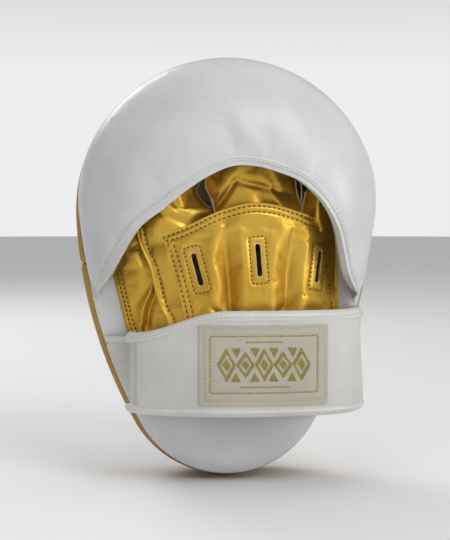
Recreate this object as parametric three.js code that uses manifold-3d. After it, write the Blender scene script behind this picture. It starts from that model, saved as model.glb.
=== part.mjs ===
// A right-hand boxing focus mitt: a layered striking pad, a padded finger hood, a glove and a
// hook-and-loop wrist strap. Millimetres. Fingertips towards +Z, striking face towards -Y,
// hand side towards +Y, thumb side towards +X. The origin is the palm's resting point.
import * as THREE from "three";
import { LoftGeometry } from "three/addons/geometries/LoftGeometry.js";
import { mergeVertices } from "three/addons/utils/BufferGeometryUtils.js";
import Module from "manifold-3d";

// The pad's outline is an egg of three arcs: crown, sides and tip.
const CROWN_R = 95;
const CROWN_Z = 170;
const TIP_R = 66;
const TIP_Z = 66;
const SIDE_R = 300;
const CROWN_STEPS = 26;
const SIDE_STEPS = 5;
const TIP_STEPS = 12;

// Depths, from the striking face to the hand side. Y is 0 on the back of the pad.
const FACE_Y = -48;
const FACE_SKIN = 1.6;
const BULGE_Y = -22; // where the side wall is widest
const FACE_INSET = 6; // how far the face seam and the back seam lie inside the widest outline
const BACK_INSET = 3.5;
const WALL = 1.5; // gusset leather with its lining
const GAP = 0.3; // between touching pieces
const BEYOND = 300; // reach of a cutting shape that passes the whole mitt
const BUTT_SEAM_Z = 133; // where the two gusset pieces meet
const PIPING_R = 1.9;
const FRONT_FOAM = 20;
const MIDDLE_FOAM = 17;

// Finger hood
const HOOD_HEIGHT = 46;
const HOOD_INSET = 1;
const HOOD_REACH = 58; // inset at which the dome is full height
const DOME_FULLNESS = 0.58; // exponent of a dome's profile: the lower, the fuller its edge
const HOOD_COVER = 1.6;
const HOOD_FOAM = 5;
const HOOD_LINING = 1;
const HOOD_BINDING_WIDTH = 7;

// Heel cushion
const HEEL_HEIGHT = 9;
const HEEL_REACH = 30;
const HEEL_TOP_Z = 92;
const HEEL_SHOULDER_Z = 43; // full width below this, narrower between the strap's roots above it
const HEEL_NECK_X = 50;

// Glove
const GLOVE_HEIGHT = 33;
const GLOVE_RIDGE_X = -8;
const GLOVE_LITTLE_SIDE = 60; // from the ridge to the little-finger edge
const GLOVE_THUMB_SIDE = 84; // from the ridge to the thumb edge
const GLOVE_BOTTOM_Z = 99;
const LEATHER = 1.5;
const PALM_LINING = 1.1;
const POCKET_Y = PALM_LINING + 2 * GAP; // pieces inside the glove stand clear of the palm lining
const GRIP_X = -6;
const GRIP_Z = 138;
const GRIP_HALF_X = 27;
const GRIP_HALF_Z = 15;
const GRIP_HEIGHT = 11;

// Wrist strap
const STRAP_BOTTOM_Z = 46;
const STRAP_TOP_Z = 110;
const STRAP_END_DROP = 14; // how far the top edge dips at the free end
const STRAP_HALF = 4.5; // half of the strap's thickness
const STRAP_SKIN = 1.4;
const BINDING_Z = 4.5;
const HINGE_X = -74; // middle of the strap where it leaves its root
const HINGE_Y = 22;
const SEAM_CLEARANCE = 4; // strap roots stay this far inside the side seam
const ANCHOR_HALF = 4;
const LABEL = 0.8;
const TAPE_THICKNESS = 1;
const TAPE_START_X = 36;
const TAB_HALF = 1;
const TAB_LOW_Z = 49;
const TAB_HIGH_Z = 92;

const PALM_POINT = new THREE.Vector3(0, GAP + PALM_LINING, 110);

const wasm = await Module();
wasm.setup();

function leather(color) {
  return new THREE.MeshStandardMaterial({ color, roughness: 0.5, metalness: 0 });
}
const WHITE = leather(0xbdbdbb);
const GOLD = leather(0xc39b3c);
const DULL_GOLD = leather(0x7a5d35);
const FOAM = new THREE.MeshStandardMaterial({ color: 0x2c2c2e, roughness: 0.95, metalness: 0 });
const TEXTILE = new THREE.MeshStandardMaterial({ color: 0xd8d4c6, roughness: 0.9, metalness: 0 });
const TAPE = new THREE.MeshStandardMaterial({ color: 0xe9e7e0, roughness: 0.95, metalness: 0 });

const mitt = new THREE.Group();
mitt.position.copy(PALM_POINT).negate();

function add(name, geometry, material) {
  const mesh = new THREE.Mesh(geometry, material.clone());
  mesh.name = name;
  mitt.add(mesh);
}

// Booleans: a closed geometry as a solid, and a solid as a geometry
function solidOf(geometry) {
  const bare = new THREE.BufferGeometry();
  bare.setAttribute("position", geometry.getAttribute("position"));
  bare.setIndex(geometry.index);
  const merged = mergeVertices(bare, 1e-4);
  return new wasm.Manifold(
    new wasm.Mesh({
      numProp: 3,
      vertProperties: merged.attributes.position.array,
      triVerts: new Uint32Array(merged.index.array),
    }),
  );
}

function geometryOf(solid) {
  const { vertProperties, triVerts } = solid.getMesh();
  const geometry = new THREE.BufferGeometry();
  geometry.setAttribute("position", new THREE.BufferAttribute(vertProperties, 3));
  geometry.setIndex(new THREE.BufferAttribute(triVerts, 1));
  return geometry;
}

function loft(sections) {
  return new LoftGeometry(sections, { capStart: true, capEnd: true });
}

function span(low, high, steps) {
  return Array.from({ length: steps + 1 }, (_, i) => low + ((high - low) * i) / steps);
}

// The egg. Each arc has a centre and a radius, so an inset egg keeps the centres.
const SIDE_Z =
  ((SIDE_R - TIP_R) ** 2 - (SIDE_R - CROWN_R) ** 2 + CROWN_Z ** 2 - TIP_Z ** 2) /
  (2 * (CROWN_Z - TIP_Z));
const SIDE_X = Math.sqrt((SIDE_R - CROWN_R) ** 2 - (SIDE_Z - CROWN_Z) ** 2);
const CROWN_TURN = Math.atan2(CROWN_Z - SIDE_Z, SIDE_X); // normal where crown and side meet
const TIP_TURN = Math.atan2(TIP_Z - SIDE_Z, SIDE_X); // normal where side and tip meet

// Outward normals round the egg, clockwise as seen from the striking face.
const EGG_NORMALS = [
  ...span(Math.PI - CROWN_TURN, CROWN_TURN, CROWN_STEPS),
  ...span(CROWN_TURN, TIP_TURN, SIDE_STEPS).slice(1),
  ...span(TIP_TURN, -Math.PI - TIP_TURN, TIP_STEPS).slice(1),
  ...span(-Math.PI - TIP_TURN, -Math.PI - CROWN_TURN, SIDE_STEPS).slice(1, -1),
];

function eggPoint(normal, inset) {
  const right = Math.cos(normal) >= 0 ? 1 : -1;
  const lift = Math.atan2(Math.sin(normal), Math.abs(Math.cos(normal)));
  let arc = { x: -right * SIDE_X, z: SIDE_Z, r: SIDE_R };
  if (lift >= CROWN_TURN) arc = { x: 0, z: CROWN_Z, r: CROWN_R };
  if (lift <= TIP_TURN) arc = { x: 0, z: TIP_Z, r: TIP_R };
  const r = arc.r - inset;
  return new THREE.Vector2(arc.x + r * Math.cos(normal), arc.z + r * Math.sin(normal));
}

function eggRing(inset, y) {
  return EGG_NORMALS.map((normal) => {
    const p = eggPoint(normal, inset);
    return new THREE.Vector3(p.x, y, p.y);
  });
}

// Half of the egg's width at a height between tip and crown centres
function halfWidth(z) {
  if (z < TIP_Z + TIP_R * Math.sin(TIP_TURN)) return Math.sqrt(TIP_R ** 2 - (z - TIP_Z) ** 2);
  return Math.sqrt(SIDE_R ** 2 - (z - SIDE_Z) ** 2) - SIDE_X;
}

// Striking pad: the side wall bulges between the face seam and the back seam.
function wallInset(y) {
  if (y < BULGE_Y) return FACE_INSET * ((y - BULGE_Y) / (FACE_Y - BULGE_Y)) ** 2;
  return BACK_INSET * ((y - BULGE_Y) / -BULGE_Y) ** 2;
}

function padLayer(low, high, extraInset, steps = 3) {
  return loft(span(low, high, steps).map((y) => eggRing(wallInset(y) + extraInset, y)));
}

function prism(outline, yLow, yHigh) {
  const shape = new THREE.Shape(outline);
  const geometry = new THREE.ExtrudeGeometry(shape, { depth: yHigh - yLow, bevelEnabled: false });
  return geometry.rotateX(Math.PI / 2).translate(0, yHigh, 0);
}

function buildPad() {
  const coreLow = FACE_Y + FACE_SKIN + GAP;
  const middleLow = coreLow + FRONT_FOAM + GAP;
  const backLow = middleLow + MIDDLE_FOAM + GAP;
  const backHigh = -WALL - GAP;
  const inner = WALL + GAP;
  add("striking_face", padLayer(FACE_Y, FACE_Y + FACE_SKIN, inner + 2 * PIPING_R, 1), WHITE);
  add("front_foam", padLayer(coreLow, middleLow - GAP, inner), FOAM);
  add("middle_foam", padLayer(middleLow, backLow - GAP, inner), FOAM);
  add("back_foam", padLayer(backLow, backHigh, inner, 2), FOAM);
  add("back_panel", padLayer(-WALL, 0, inner, 1), WHITE);

  const wallLow = coreLow + GAP;
  const hollow = solidOf(padLayer(wallLow - 1, 1, WALL, 8));
  const wall = solidOf(padLayer(wallLow, 0, 0, 8)).subtract(hollow);
  const halves = [["gusset_upper", BEYOND / 2], ["gusset_lower", -GAP - BEYOND / 2]];
  for (const [name, offset] of halves) {
    const half = new THREE.BoxGeometry(BEYOND, BEYOND, BEYOND).translate(0, 0, BUTT_SEAM_Z + offset);
    add(name, geometryOf(wall.intersect(solidOf(half))), DULL_GOLD);
  }

  const pipingInset = wallInset(FACE_Y) + PIPING_R;
  const around = span(0, 2 * Math.PI, 8).slice(0, -1);
  const rings = around.map((turn) =>
    eggRing(pipingInset + PIPING_R * Math.cos(turn), FACE_Y + PIPING_R * (Math.sin(turn) + 0.1)),
  );
  const piping = new LoftGeometry([...rings, rings[0]].reverse());
  const face = solidOf(padLayer(FACE_Y - 9, FACE_Y + FACE_SKIN + GAP, inner + 2 * PIPING_R - GAP, 1));
  const core = solidOf(padLayer(coreLow - GAP, -1, inner - GAP));
  const edge = solidOf(padLayer(wallLow - GAP, 0, -1));
  add("face_piping", geometryOf(solidOf(piping).subtract(face).subtract(core).subtract(edge)), GOLD);
}

// Rings of a dome over the egg, which stands inside the outermost dome by a depth
function dome(height, firstInset, reach, depth) {
  const rise = span(0, Math.PI / 2, 7).map((turn) => 1 - Math.cos(turn));
  return rise.map((t) => {
    const inset = firstInset + depth + t * (reach - depth);
    return eggRing(inset, GAP + (height - depth) * (1 - (1 - t) ** 2) ** DOME_FULLNESS);
  });
}

function domeShell(height, firstInset, reach, outerDepth, innerDepth) {
  const outer = solidOf(loft(dome(height, firstInset, reach, outerDepth)));
  const rings = dome(height, firstInset, reach, innerDepth);
  const skirt = eggRing(firstInset + innerDepth, GAP - 5);
  return outer.subtract(solidOf(loft([skirt, ...rings])));
}

// The hood's lower edge, from the thumb side over the arch to the little-finger side
const HOOD_EDGE = new THREE.SplineCurve(
  [
    [104, 112], [82, 121.5], [70.5, 141], [58, 159.5], [43, 171], [30.5, 181], [16, 190.5], [1, 196.5],
    [-14, 196], [-28, 192], [-48, 180.5], [-63, 159], [-71, 131], [-84, 116], [-104, 112],
  ].map(([x, z]) => new THREE.Vector2(x, z)),
).getPoints(40);

function regionAbove(edge) {
  const outline = [...edge, new THREE.Vector2(-104, BEYOND), new THREE.Vector2(104, BEYOND)];
  return solidOf(prism(outline.reverse(), -20, 100));
}

// A polyline moved sideways, to its right as it runs
function shifted(points, distance) {
  return points.map((point, i) => {
    const before = points[Math.max(0, i - 1)];
    const after = points[Math.min(points.length - 1, i + 1)];
    const along = after.clone().sub(before).normalize();
    return new THREE.Vector2(point.x + along.y * distance, point.y - along.x * distance);
  });
}

function buildHood() {
  const bound = shifted(HOOD_EDGE, HOOD_BINDING_WIDTH);
  const field = regionAbove(shifted(HOOD_EDGE, HOOD_BINDING_WIDTH + GAP));
  const layer = (outer, inner) => domeShell(HOOD_HEIGHT, HOOD_INSET, HOOD_REACH, outer, inner);
  const foamDepth = HOOD_COVER + GAP;
  const liningDepth = foamDepth + HOOD_FOAM + GAP;
  const full = liningDepth + HOOD_LINING;
  add("hood_cover", geometryOf(layer(0, HOOD_COVER).intersect(field)), WHITE);
  add("hood_foam", geometryOf(layer(foamDepth, foamDepth + HOOD_FOAM).intersect(field)), FOAM);
  add("hood_lining", geometryOf(layer(liningDepth, full).intersect(field)), TEXTILE);
  const band = regionAbove(HOOD_EDGE).subtract(regionAbove(bound));
  add("hood_binding", geometryOf(layer(0, full).intersect(band)), WHITE);
}

function buildHeel() {
  const outline = [
    [-BEYOND, -BEYOND], [BEYOND, -BEYOND], [BEYOND, HEEL_SHOULDER_Z],
    [HEEL_NECK_X, HEEL_SHOULDER_Z], [HEEL_NECK_X, HEEL_TOP_Z], [-HEEL_NECK_X, HEEL_TOP_Z],
    [-HEEL_NECK_X, HEEL_SHOULDER_Z], [-BEYOND, HEEL_SHOULDER_Z],
  ].map(([x, z]) => new THREE.Vector2(x, z));
  const region = solidOf(prism(outline, -20, 60));
  const cover = domeShell(HEEL_HEIGHT, BACK_INSET, HEEL_REACH, 0, LEATHER);
  const foam = solidOf(loft(dome(HEEL_HEIGHT, BACK_INSET, HEEL_REACH, LEATHER + GAP)));
  add("heel_cover", geometryOf(cover.intersect(region)), WHITE);
  add("heel_foam", geometryOf(foam.intersect(region)), FOAM);
}

// A sheet that stands on profiles in XY, lofted along them. Each layer lies between two offsets
// from the profile, measured to its left as it runs from -X to +X.
function sheet(profileAt, heights, inner, outer, liftAt = (x, z) => z) {
  const rows = heights.map((z) => {
    const line = profileAt(z);
    const lifted = (offset) =>
      shifted(line, -offset).map((p, i) => new THREE.Vector3(p.x, p.y, liftAt(line[i].x, z)));
    return { near: lifted(inner), far: lifted(outer) };
  });
  const stations = rows[0].near.map((_, i) => i);
  return loft(
    stations.map((i) => [...rows.map((row) => row.far[i]), ...rows.map((row) => row.near[i]).reverse()]),
  );
}

// Height of the glove's outside above the pad's back
function gloveArch(x) {
  const half = x < GLOVE_RIDGE_X ? GLOVE_LITTLE_SIDE : GLOVE_THUMB_SIDE;
  const power = x < GLOVE_RIDGE_X ? 3.4 : 2.2;
  return GLOVE_HEIGHT * (1 - Math.abs((x - GLOVE_RIDGE_X) / half) ** power);
}

const VENTS = [
  { x: 22, z: 134.5, tilt: 0.25 },
  { x: -15, z: 140, tilt: 0.08 },
  { x: -54, z: 135.5, tilt: -0.14 },
];
const VENT_WIDTH = 3.2;
const VENT_LENGTH = 20;

function buildHandBack() {
  const line = () => span(-65.5, 41, 22).map((x) => new THREE.Vector2(x, gloveArch(x)));
  const top = new THREE.SplineCurve(
    [[60, 150], [43, 157], [26, 167], [-13, 175], [-44, 168], [-62, 158], [-90, 140]].map(
      ([x, z]) => new THREE.Vector2(x, z),
    ),
  ).getPoints(24);
  const outline = [...top, new THREE.Vector2(-90, 80), new THREE.Vector2(60, 80)];
  const region = solidOf(prism(outline, -20, 80));
  const layers = [
    ["hand_back_panel", 0, LEATHER, GOLD],
    ["hand_back_lining", -GAP - 1, -GAP, TEXTILE],
  ];
  for (const [name, inner, outer, material] of layers) {
    let solid = solidOf(sheet(line, span(GLOVE_BOTTOM_Z, 180, 6), inner, outer)).intersect(region);
    for (const { x, z, tilt } of VENTS) {
      const slot = new THREE.BoxGeometry(VENT_WIDTH, 60, VENT_LENGTH).rotateY(tilt);
      solid = solid.subtract(solidOf(slot.translate(x, 30, z)));
    }
    add(name, geometryOf(solid), material);
  }
}

// A closed-topped, open-bottomed pocket for a finger or two
function stall(x, width, depth, low, high) {
  const shellOf = (inset, bottom) => {
    const round = depth / 2 - inset;
    const shoulder = high - inset - round;
    const steps = [bottom, ...span(0, 0.98, 5).map((t) => shoulder + round * t)];
    return loft(
      steps.map((z) => {
        const t = Math.max(0, (z - shoulder) / round);
        const shrink = Math.sqrt(1 - t * t) * round;
        return span(0, 2 * Math.PI, 20)
          .slice(0, -1)
          .map((turn) => {
            const across = width / 2 - inset - round + shrink;
            const px = across * Math.sign(Math.cos(turn)) * Math.abs(Math.cos(turn)) ** 0.7;
            const py = shrink * Math.sign(Math.sin(turn)) * Math.abs(Math.sin(turn)) ** 0.8;
            return new THREE.Vector3(x + px, POCKET_Y + depth / 2 + py, z);
          });
      }),
    );
  };
  return geometryOf(solidOf(shellOf(0, low)).subtract(solidOf(shellOf(LEATHER, low - 5))));
}
function buildGlove() {
  buildHandBack();
  add("index_stall", stall(30.5, 35, 22, 165, 214), GOLD);
  add("middle_ring_stall", stall(-15, 50, 23, 166, 221), GOLD);
  add("little_stall", stall(-55.5, 24, 18, 170, 203), GOLD);
  const wedges = [["stall_gusset_index", 11.5, 13, 180], ["stall_gusset_little", -42, 9, 179]];
  for (const [name, x, length, low] of wedges) {
    const strip = new THREE.BoxGeometry(1.2, 12, length);
    add(name, strip.translate(x, POCKET_Y + 10, low + length / 2), TEXTILE);
  }

  const thumbTop = 163;
  const thumbShoulder = 118;
  const thumbLine = (z) => {
    const t = Math.max(0, (z - thumbShoulder) / (thumbTop - thumbShoulder));
    const rise = Math.sqrt(1 - 0.97 * t * t);
    return span(44, 75, 10).map((x) => new THREE.Vector2(x, 1 + 0.92 * gloveArch(x) * rise));
  };
  const thumbHeights = [GLOVE_BOTTOM_Z + 5, ...span(thumbShoulder, thumbTop, 8)];
  add("thumb_stall", sheet(thumbLine, thumbHeights, 0, LEATHER), GOLD);

  const palm = [
    [-64, 96], [62, 96], [66, 130], [52, 206], [0, 224], [-50, 206], [-66, 170],
  ].map(([x, z]) => new THREE.Vector2(x, z));
  add("palm_lining", prism(palm, GAP, GAP + PALM_LINING), TEXTILE);

  const crown = span(0, Math.PI / 2, 8).map((t) => new THREE.Vector2(Math.cos(t), Math.sin(t)));
  const profile = [new THREE.Vector2(0, 0), ...crown.slice(0, -1), new THREE.Vector2(0, 1)];
  const ball = new THREE.LatheGeometry(profile, 24).scale(GRIP_HALF_X, GRIP_HEIGHT, GRIP_HALF_Z);
  add("grip_ball", ball.translate(GRIP_X, POCKET_Y, GRIP_Z), FOAM);
}

// Wrist strap: its middle line from the hinge on the little-finger side to the free end
const STRAP_CURVE = new THREE.SplineCurve(
  [
    [HINGE_X + 0.5, HINGE_Y + 0.9], [-67, 31.5], [-50, 38.5], [-20, 41.5],
    [10, 40], [35, 34], [52, 25.5], [62, 17],
  ].map(([x, y]) => new THREE.Vector2(x, y)),
).getPoints(84);

function strapStretch(fromX, toX, every = 3) {
  const inside = STRAP_CURVE.filter((p) => p.x >= fromX && p.x <= toX);
  return inside.filter((p, i) => i % every === 0 || i === inside.length - 1);
}

// The strap narrows towards its free end: a height on its straight part, lowered by that taper
function taper(x, z) {
  const t = THREE.MathUtils.smoothstep(x, 18, 62);
  const fraction = (z - STRAP_BOTTOM_Z) / (STRAP_TOP_Z - STRAP_BOTTOM_Z);
  return z - t * fraction * STRAP_END_DROP;
}

function buildStrap() {
  const low = STRAP_BOTTOM_Z + BINDING_Z;
  const high = STRAP_TOP_Z - BINDING_Z;
  const whole = () => strapStretch(-100, 100);
  const skin = STRAP_HALF - STRAP_SKIN;
  const layer = (inner, outer) => sheet(whole, span(low, high, 1), inner, outer, taper);
  add("strap_cover", layer(skin, STRAP_HALF), WHITE);
  add("strap_foam", layer(GAP - skin, skin - GAP), FOAM);
  add("strap_lining", layer(-STRAP_HALF, -skin), TEXTILE);
  const edges = [
    ["strap_bottom_binding", STRAP_BOTTOM_Z, low - GAP],
    ["strap_top_binding", high + GAP, STRAP_TOP_Z],
  ];
  for (const [name, from, to] of edges) {
    add(name, sheet(whole, [from, to], -STRAP_HALF, STRAP_HALF, taper), WHITE);
  }
  const label = () => strapStretch(-56, 22);
  const labelInner = STRAP_HALF + GAP;
  add("strap_label", sheet(label, [54, 101], labelInner, labelInner + LABEL, taper), TEXTILE);

  const lap = () => strapStretch(TAPE_START_X, 59);
  const hookOuter = -STRAP_HALF - GAP;
  const loopOuter = hookOuter - TAPE_THICKNESS - GAP;
  const tapes = [["strap_hook_tape", hookOuter], ["base_loop_tape", loopOuter]];
  for (const [name, outer] of tapes) {
    add(name, sheet(lap, [TAB_LOW_Z + 2, TAB_HIGH_Z - 2], outer - TAPE_THICKNESS, outer, taper), TAPE);
  }

  const tabMiddle = TAPE_THICKNESS - loopOuter + GAP + TAB_HALF;
  const under = shifted(strapStretch(TAPE_START_X - 3, 58, 6), tabMiddle);
  const tabLine = (z) => {
    const root = new THREE.Vector2(halfWidth(z) - SEAM_CLEARANCE, GAP + TAB_HALF + 0.4);
    return new THREE.SplineCurve([...under, root]).getPoints(20);
  };
  add("base_tab", sheet(tabLine, span(TAB_LOW_Z, TAB_HIGH_Z, 5), -TAB_HALF, TAB_HALF), WHITE);

  const anchorLine = (z) => {
    const rootX = -(halfWidth(z) - SEAM_CLEARANCE - 1);
    const points = [
      [rootX, ANCHOR_HALF + 2], [(rootX + HINGE_X - 3) / 2, ANCHOR_HALF + 4.5],
      [HINGE_X - 2.5, HINGE_Y - 7.5], [HINGE_X, HINGE_Y - 0.5],
    ];
    return new THREE.SplineCurve(points.map(([x, y]) => new THREE.Vector2(x, y))).getPoints(12);
  };
  const anchorHeights = span(STRAP_BOTTOM_Z, STRAP_TOP_Z, 6);
  add("strap_anchor", sheet(anchorLine, anchorHeights, -ANCHOR_HALF, ANCHOR_HALF), WHITE);
}

buildPad();
buildHood();
buildHeel();
buildGlove();
buildStrap();

export default mitt;
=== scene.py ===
"""A right-hand boxing focus mitt: padded striking face, finger hood, gold glove and wrist strap.

Every piece is laid out in millimetres in the mitt's own layout: x towards the thumb, y out of the
back of the hand with 0 on the back of the pad, z from the tip up to the fingertips. framed() puts
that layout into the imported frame, in metres.
"""

import contextlib
import math

import bpy
import numpy as np
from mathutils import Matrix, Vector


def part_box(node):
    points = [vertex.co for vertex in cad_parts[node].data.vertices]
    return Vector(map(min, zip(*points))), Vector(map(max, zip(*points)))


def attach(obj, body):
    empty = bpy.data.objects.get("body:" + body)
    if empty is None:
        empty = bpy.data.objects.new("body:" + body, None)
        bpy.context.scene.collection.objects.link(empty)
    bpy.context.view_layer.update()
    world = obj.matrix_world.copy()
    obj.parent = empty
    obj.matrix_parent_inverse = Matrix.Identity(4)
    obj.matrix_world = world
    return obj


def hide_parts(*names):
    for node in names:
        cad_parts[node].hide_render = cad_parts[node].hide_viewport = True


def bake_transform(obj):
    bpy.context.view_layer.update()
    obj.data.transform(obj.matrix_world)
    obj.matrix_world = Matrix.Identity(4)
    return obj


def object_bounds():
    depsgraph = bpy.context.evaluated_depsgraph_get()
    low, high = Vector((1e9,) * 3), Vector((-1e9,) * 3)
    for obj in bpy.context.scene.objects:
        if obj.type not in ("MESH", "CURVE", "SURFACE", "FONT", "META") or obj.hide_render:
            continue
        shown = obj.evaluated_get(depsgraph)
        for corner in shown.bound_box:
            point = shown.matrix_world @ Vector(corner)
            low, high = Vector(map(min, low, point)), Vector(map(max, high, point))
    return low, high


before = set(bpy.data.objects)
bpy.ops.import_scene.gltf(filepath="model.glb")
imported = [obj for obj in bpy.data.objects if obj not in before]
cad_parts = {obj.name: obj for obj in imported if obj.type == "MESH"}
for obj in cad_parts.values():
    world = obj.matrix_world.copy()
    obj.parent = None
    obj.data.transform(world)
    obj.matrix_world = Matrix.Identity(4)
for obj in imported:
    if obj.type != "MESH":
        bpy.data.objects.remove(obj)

CAD_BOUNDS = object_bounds()
MM = 0.001
BACK_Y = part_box("back_panel")[1][1]
TIP_Z_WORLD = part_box("gusset_lower")[0][2]

# ---------------------------------------------------------------- the mitt's dimensions, in mm

PAD_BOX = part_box("gusset_upper")
CROWN_R = (PAD_BOX[1][0] - PAD_BOX[0][0]) / 2 / MM
CROWN_Z = (PAD_BOX[1][2] - TIP_Z_WORLD) / MM - CROWN_R
TIP_R = 66.0
TIP_Z = 66.0
SIDE_R = 300.0
FACE_Y = (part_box("striking_face")[0][1] - BACK_Y) / MM
FACE_SEAM_Y = FACE_Y + 5.0
BULGE_Y = -22.0
FACE_INSET = 6.0
BACK_INSET = 3.5
BUTT_SEAM_Z = 136.0
PIPING_R = 1.75

# how thick the leathers are, and how far their cut edges are rounded over
FACE_THICK = 1.4
WALL_THICK = 1.3
COVER_THICK = 1.2
GLOVE_THICK = 1.5
ROUNDING = 0.3

HOOD_HEIGHT = 45.0
HOOD_REACH = 58.0
HOOD_THICK = 7.6
HOOD_BAND = 5.6
# the arched lower edge of the hood, as (x, z) from the thumb side
HOOD_EDGE = [
    (86.2, 114), (82, 121.5), (75.8, 132), (70.5, 141), (58, 159.5), (43, 171), (30.5, 181), (16, 190.5),
    (1, 196.5), (-14, 196), (-28, 192), (-38, 188), (-48, 180.5), (-56, 171.5), (-63, 159), (-67.3, 144),
    (-71, 131), (-78, 120), (-85.5, 114),
]

GLOVE_RIDGE_X = -8.0
GLOVE_HEIGHT = 32.5
# middle (x, z) and tilt of each vent, and the width and height of the stitched frame round it
VENTS = [(22.0, 134.5, -0.25), (-15.0, 140.0, -0.08), (-54.0, 135.5, 0.14)]
VENT_FRAME = (10.0, 28.5)
VENT_WIDTH = 3.2
VENT_LENGTH = 20.0

STRAP_LOW = 46.0
STRAP_HIGH = 110.0
STRAP_DROP = 14.0
STRAP_THICK = 7.6
STRAP_COLUMNS = 260
STRAP_END_SEAM = 0.955
# middle line of the flap, as (x, y), from the fold at the little-finger side to the free end
STRAP_PATH = [(-77.5, 20), (-68.5, 31), (-50, 38.5), (-20, 41.5), (10, 40), (35, 34), (52, 25.5), (62.5, 16.5)]


# ---------------------------------------------------------------- outline and curves


SIDE_Z = ((SIDE_R - TIP_R) ** 2 - (SIDE_R - CROWN_R) ** 2 + CROWN_Z**2 - TIP_Z**2) / (2 * (CROWN_Z - TIP_Z))
SIDE_X = math.sqrt((SIDE_R - CROWN_R) ** 2 - (SIDE_Z - CROWN_Z) ** 2)
CROWN_TURN = math.atan2(CROWN_Z - SIDE_Z, SIDE_X)
TIP_TURN = math.atan2(TIP_Z - SIDE_Z, SIDE_X)


def egg(turn, inset):
    """Points (x, z) of the outline moved inwards, where its outward normal has the given turn."""
    c, s = np.cos(turn), np.sin(turn)
    lift = np.arctan2(s, np.abs(c))
    crown, tip = lift >= CROWN_TURN, lift <= TIP_TURN
    x = np.where(crown | tip, 0.0, -np.where(c >= 0, 1, -1) * SIDE_X)
    z = np.where(crown, CROWN_Z, np.where(tip, TIP_Z, SIDE_Z))
    r = np.where(crown, CROWN_R, np.where(tip, TIP_R, SIDE_R)) - inset
    return x + r * c, z + r * s


def egg_depth(x, z):
    """How far inside the outline a point lies."""
    a = np.abs(x)
    crown = np.arctan2(z - CROWN_Z, a) >= CROWN_TURN
    tip = np.arctan2(z - TIP_Z, a) <= TIP_TURN
    side = SIDE_R - np.hypot(a + SIDE_X, z - SIDE_Z)
    low = np.where(tip, TIP_R - np.hypot(a, z - TIP_Z), side)
    return np.where(crown, CROWN_R - np.hypot(a, z - CROWN_Z), low)


_turns = np.linspace(-math.pi / 2, 1.5 * math.pi, 4000)
_outline = np.array(egg(_turns, 0.0)).T
_walked = np.concatenate([[0], np.cumsum(np.linalg.norm(np.diff(_outline, axis=0), axis=1))])


def turn_at(part):
    """Turn of the normal a given part of the way round the outline, from the tip up the thumb side."""
    return np.interp(np.asarray(part) % 1.0001, _walked / _walked[-1], _turns)


def half_width(z):
    """Half the width of the outline at a height."""
    tip = np.sqrt(np.maximum(TIP_R**2 - (z - TIP_Z) ** 2, 0))
    side = np.sqrt(SIDE_R**2 - (z - SIDE_Z) ** 2) - SIDE_X
    return np.where(z < TIP_Z + TIP_R * math.sin(TIP_TURN), tip, side)


def spline(points, count):
    """A smooth curve through the points, in any number of dimensions, evenly spaced."""
    p = np.asarray(points, float)
    p = np.vstack([2 * p[0] - p[1], p, 2 * p[-1] - p[-2]])
    runs = []
    t = np.linspace(0, 1, 24, endpoint=False)[:, None]
    for a, b, c, d in zip(p, p[1:], p[2:], p[3:]):
        square, cube = 2 * a - 5 * b + 4 * c - d, 3 * b - a - 3 * c + d
        runs.append(0.5 * (2 * b + (c - a) * t + square * t**2 + cube * t**3))
    return evenly(np.vstack([*runs, p[-2][None]]), count)


def evenly(line, count):
    """The same line with count points at equal distances."""
    line = np.asarray(line, float)
    walked = np.concatenate([[0], np.cumsum(np.linalg.norm(np.diff(line, axis=0), axis=1))])
    at = np.linspace(0, walked[-1], count)
    return np.stack([np.interp(at, walked, line[:, k]) for k in range(line.shape[1])], axis=1)


def length(line):
    return float(np.linalg.norm(np.diff(line, axis=0), axis=1).sum())


def smooth(value, low, high):
    """Rises softly from 0 at low to 1 at high."""
    t = np.clip((value - low) / (high - low), 0, 1)
    return t * t * (3 - 2 * t)


def bump(value, centre, width):
    """1 at the centre, falling softly to nothing on both sides."""
    return np.exp(-(((value - centre) / width) ** 2))


def folds(x, z, rows):
    """Sum of soft ridges in leather, each (height, x at its middle, lean, width, z at its middle, tall)."""
    total = 0
    for high, across, lean, wide, middle, tall in rows:
        total = total + high * bump(x - lean * (z - middle), across, wide) * bump(z, middle, tall)
    return total


def ripple(a, b, seed, scale):
    """Soft unevenness between -1 and 1, the same on every run."""
    out = 0
    for k in range(5):
        angle = seed * 1.7 + k * 2.399
        wave = scale * (0.75 + 0.22 * k)
        out = out + np.sin((a * math.cos(angle) + b * math.sin(angle)) / wave + seed + 1.3 * k)
    return out / 5


# ---------------------------------------------------------------- building meshes

WELD_DISTANCE = 2e-6
CUT_ANGLE = math.radians(50)
SHARP_ANGLE = math.radians(55)
CLOTH_SCALE = 0.01
CLOTH_FRAMES = 20

def framed(points):
    """Points of the mitt's layout, in millimetres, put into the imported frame, in metres."""
    return np.asarray(points, float) * MM + np.array([0.0, BACK_Y, TIP_Z_WORLD])


def deselect():
    if bpy.context.object and bpy.context.object.mode != "OBJECT":
        bpy.ops.object.mode_set(mode="OBJECT")
    bpy.ops.object.select_all(action="DESELECT")


def only(piece):
    deselect()
    piece.select_set(True)
    bpy.context.view_layer.objects.active = piece


@contextlib.contextmanager
def editing(piece, select="SELECT", by="VERT"):
    """Opens one piece for editing, with everything or nothing selected, and closes it again."""
    only(piece)
    bpy.ops.object.mode_set(mode="EDIT")
    bpy.ops.mesh.select_mode(type=by)
    bpy.ops.mesh.select_all(action=select)
    yield
    bpy.ops.mesh.select_mode(type="VERT")
    bpy.ops.object.mode_set(mode="OBJECT")


def belongs(piece, body, node=None):
    """Attaches a piece to the body it moves with and hides the part it stands for."""
    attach(piece, body)
    if node:
        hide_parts(node)


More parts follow.
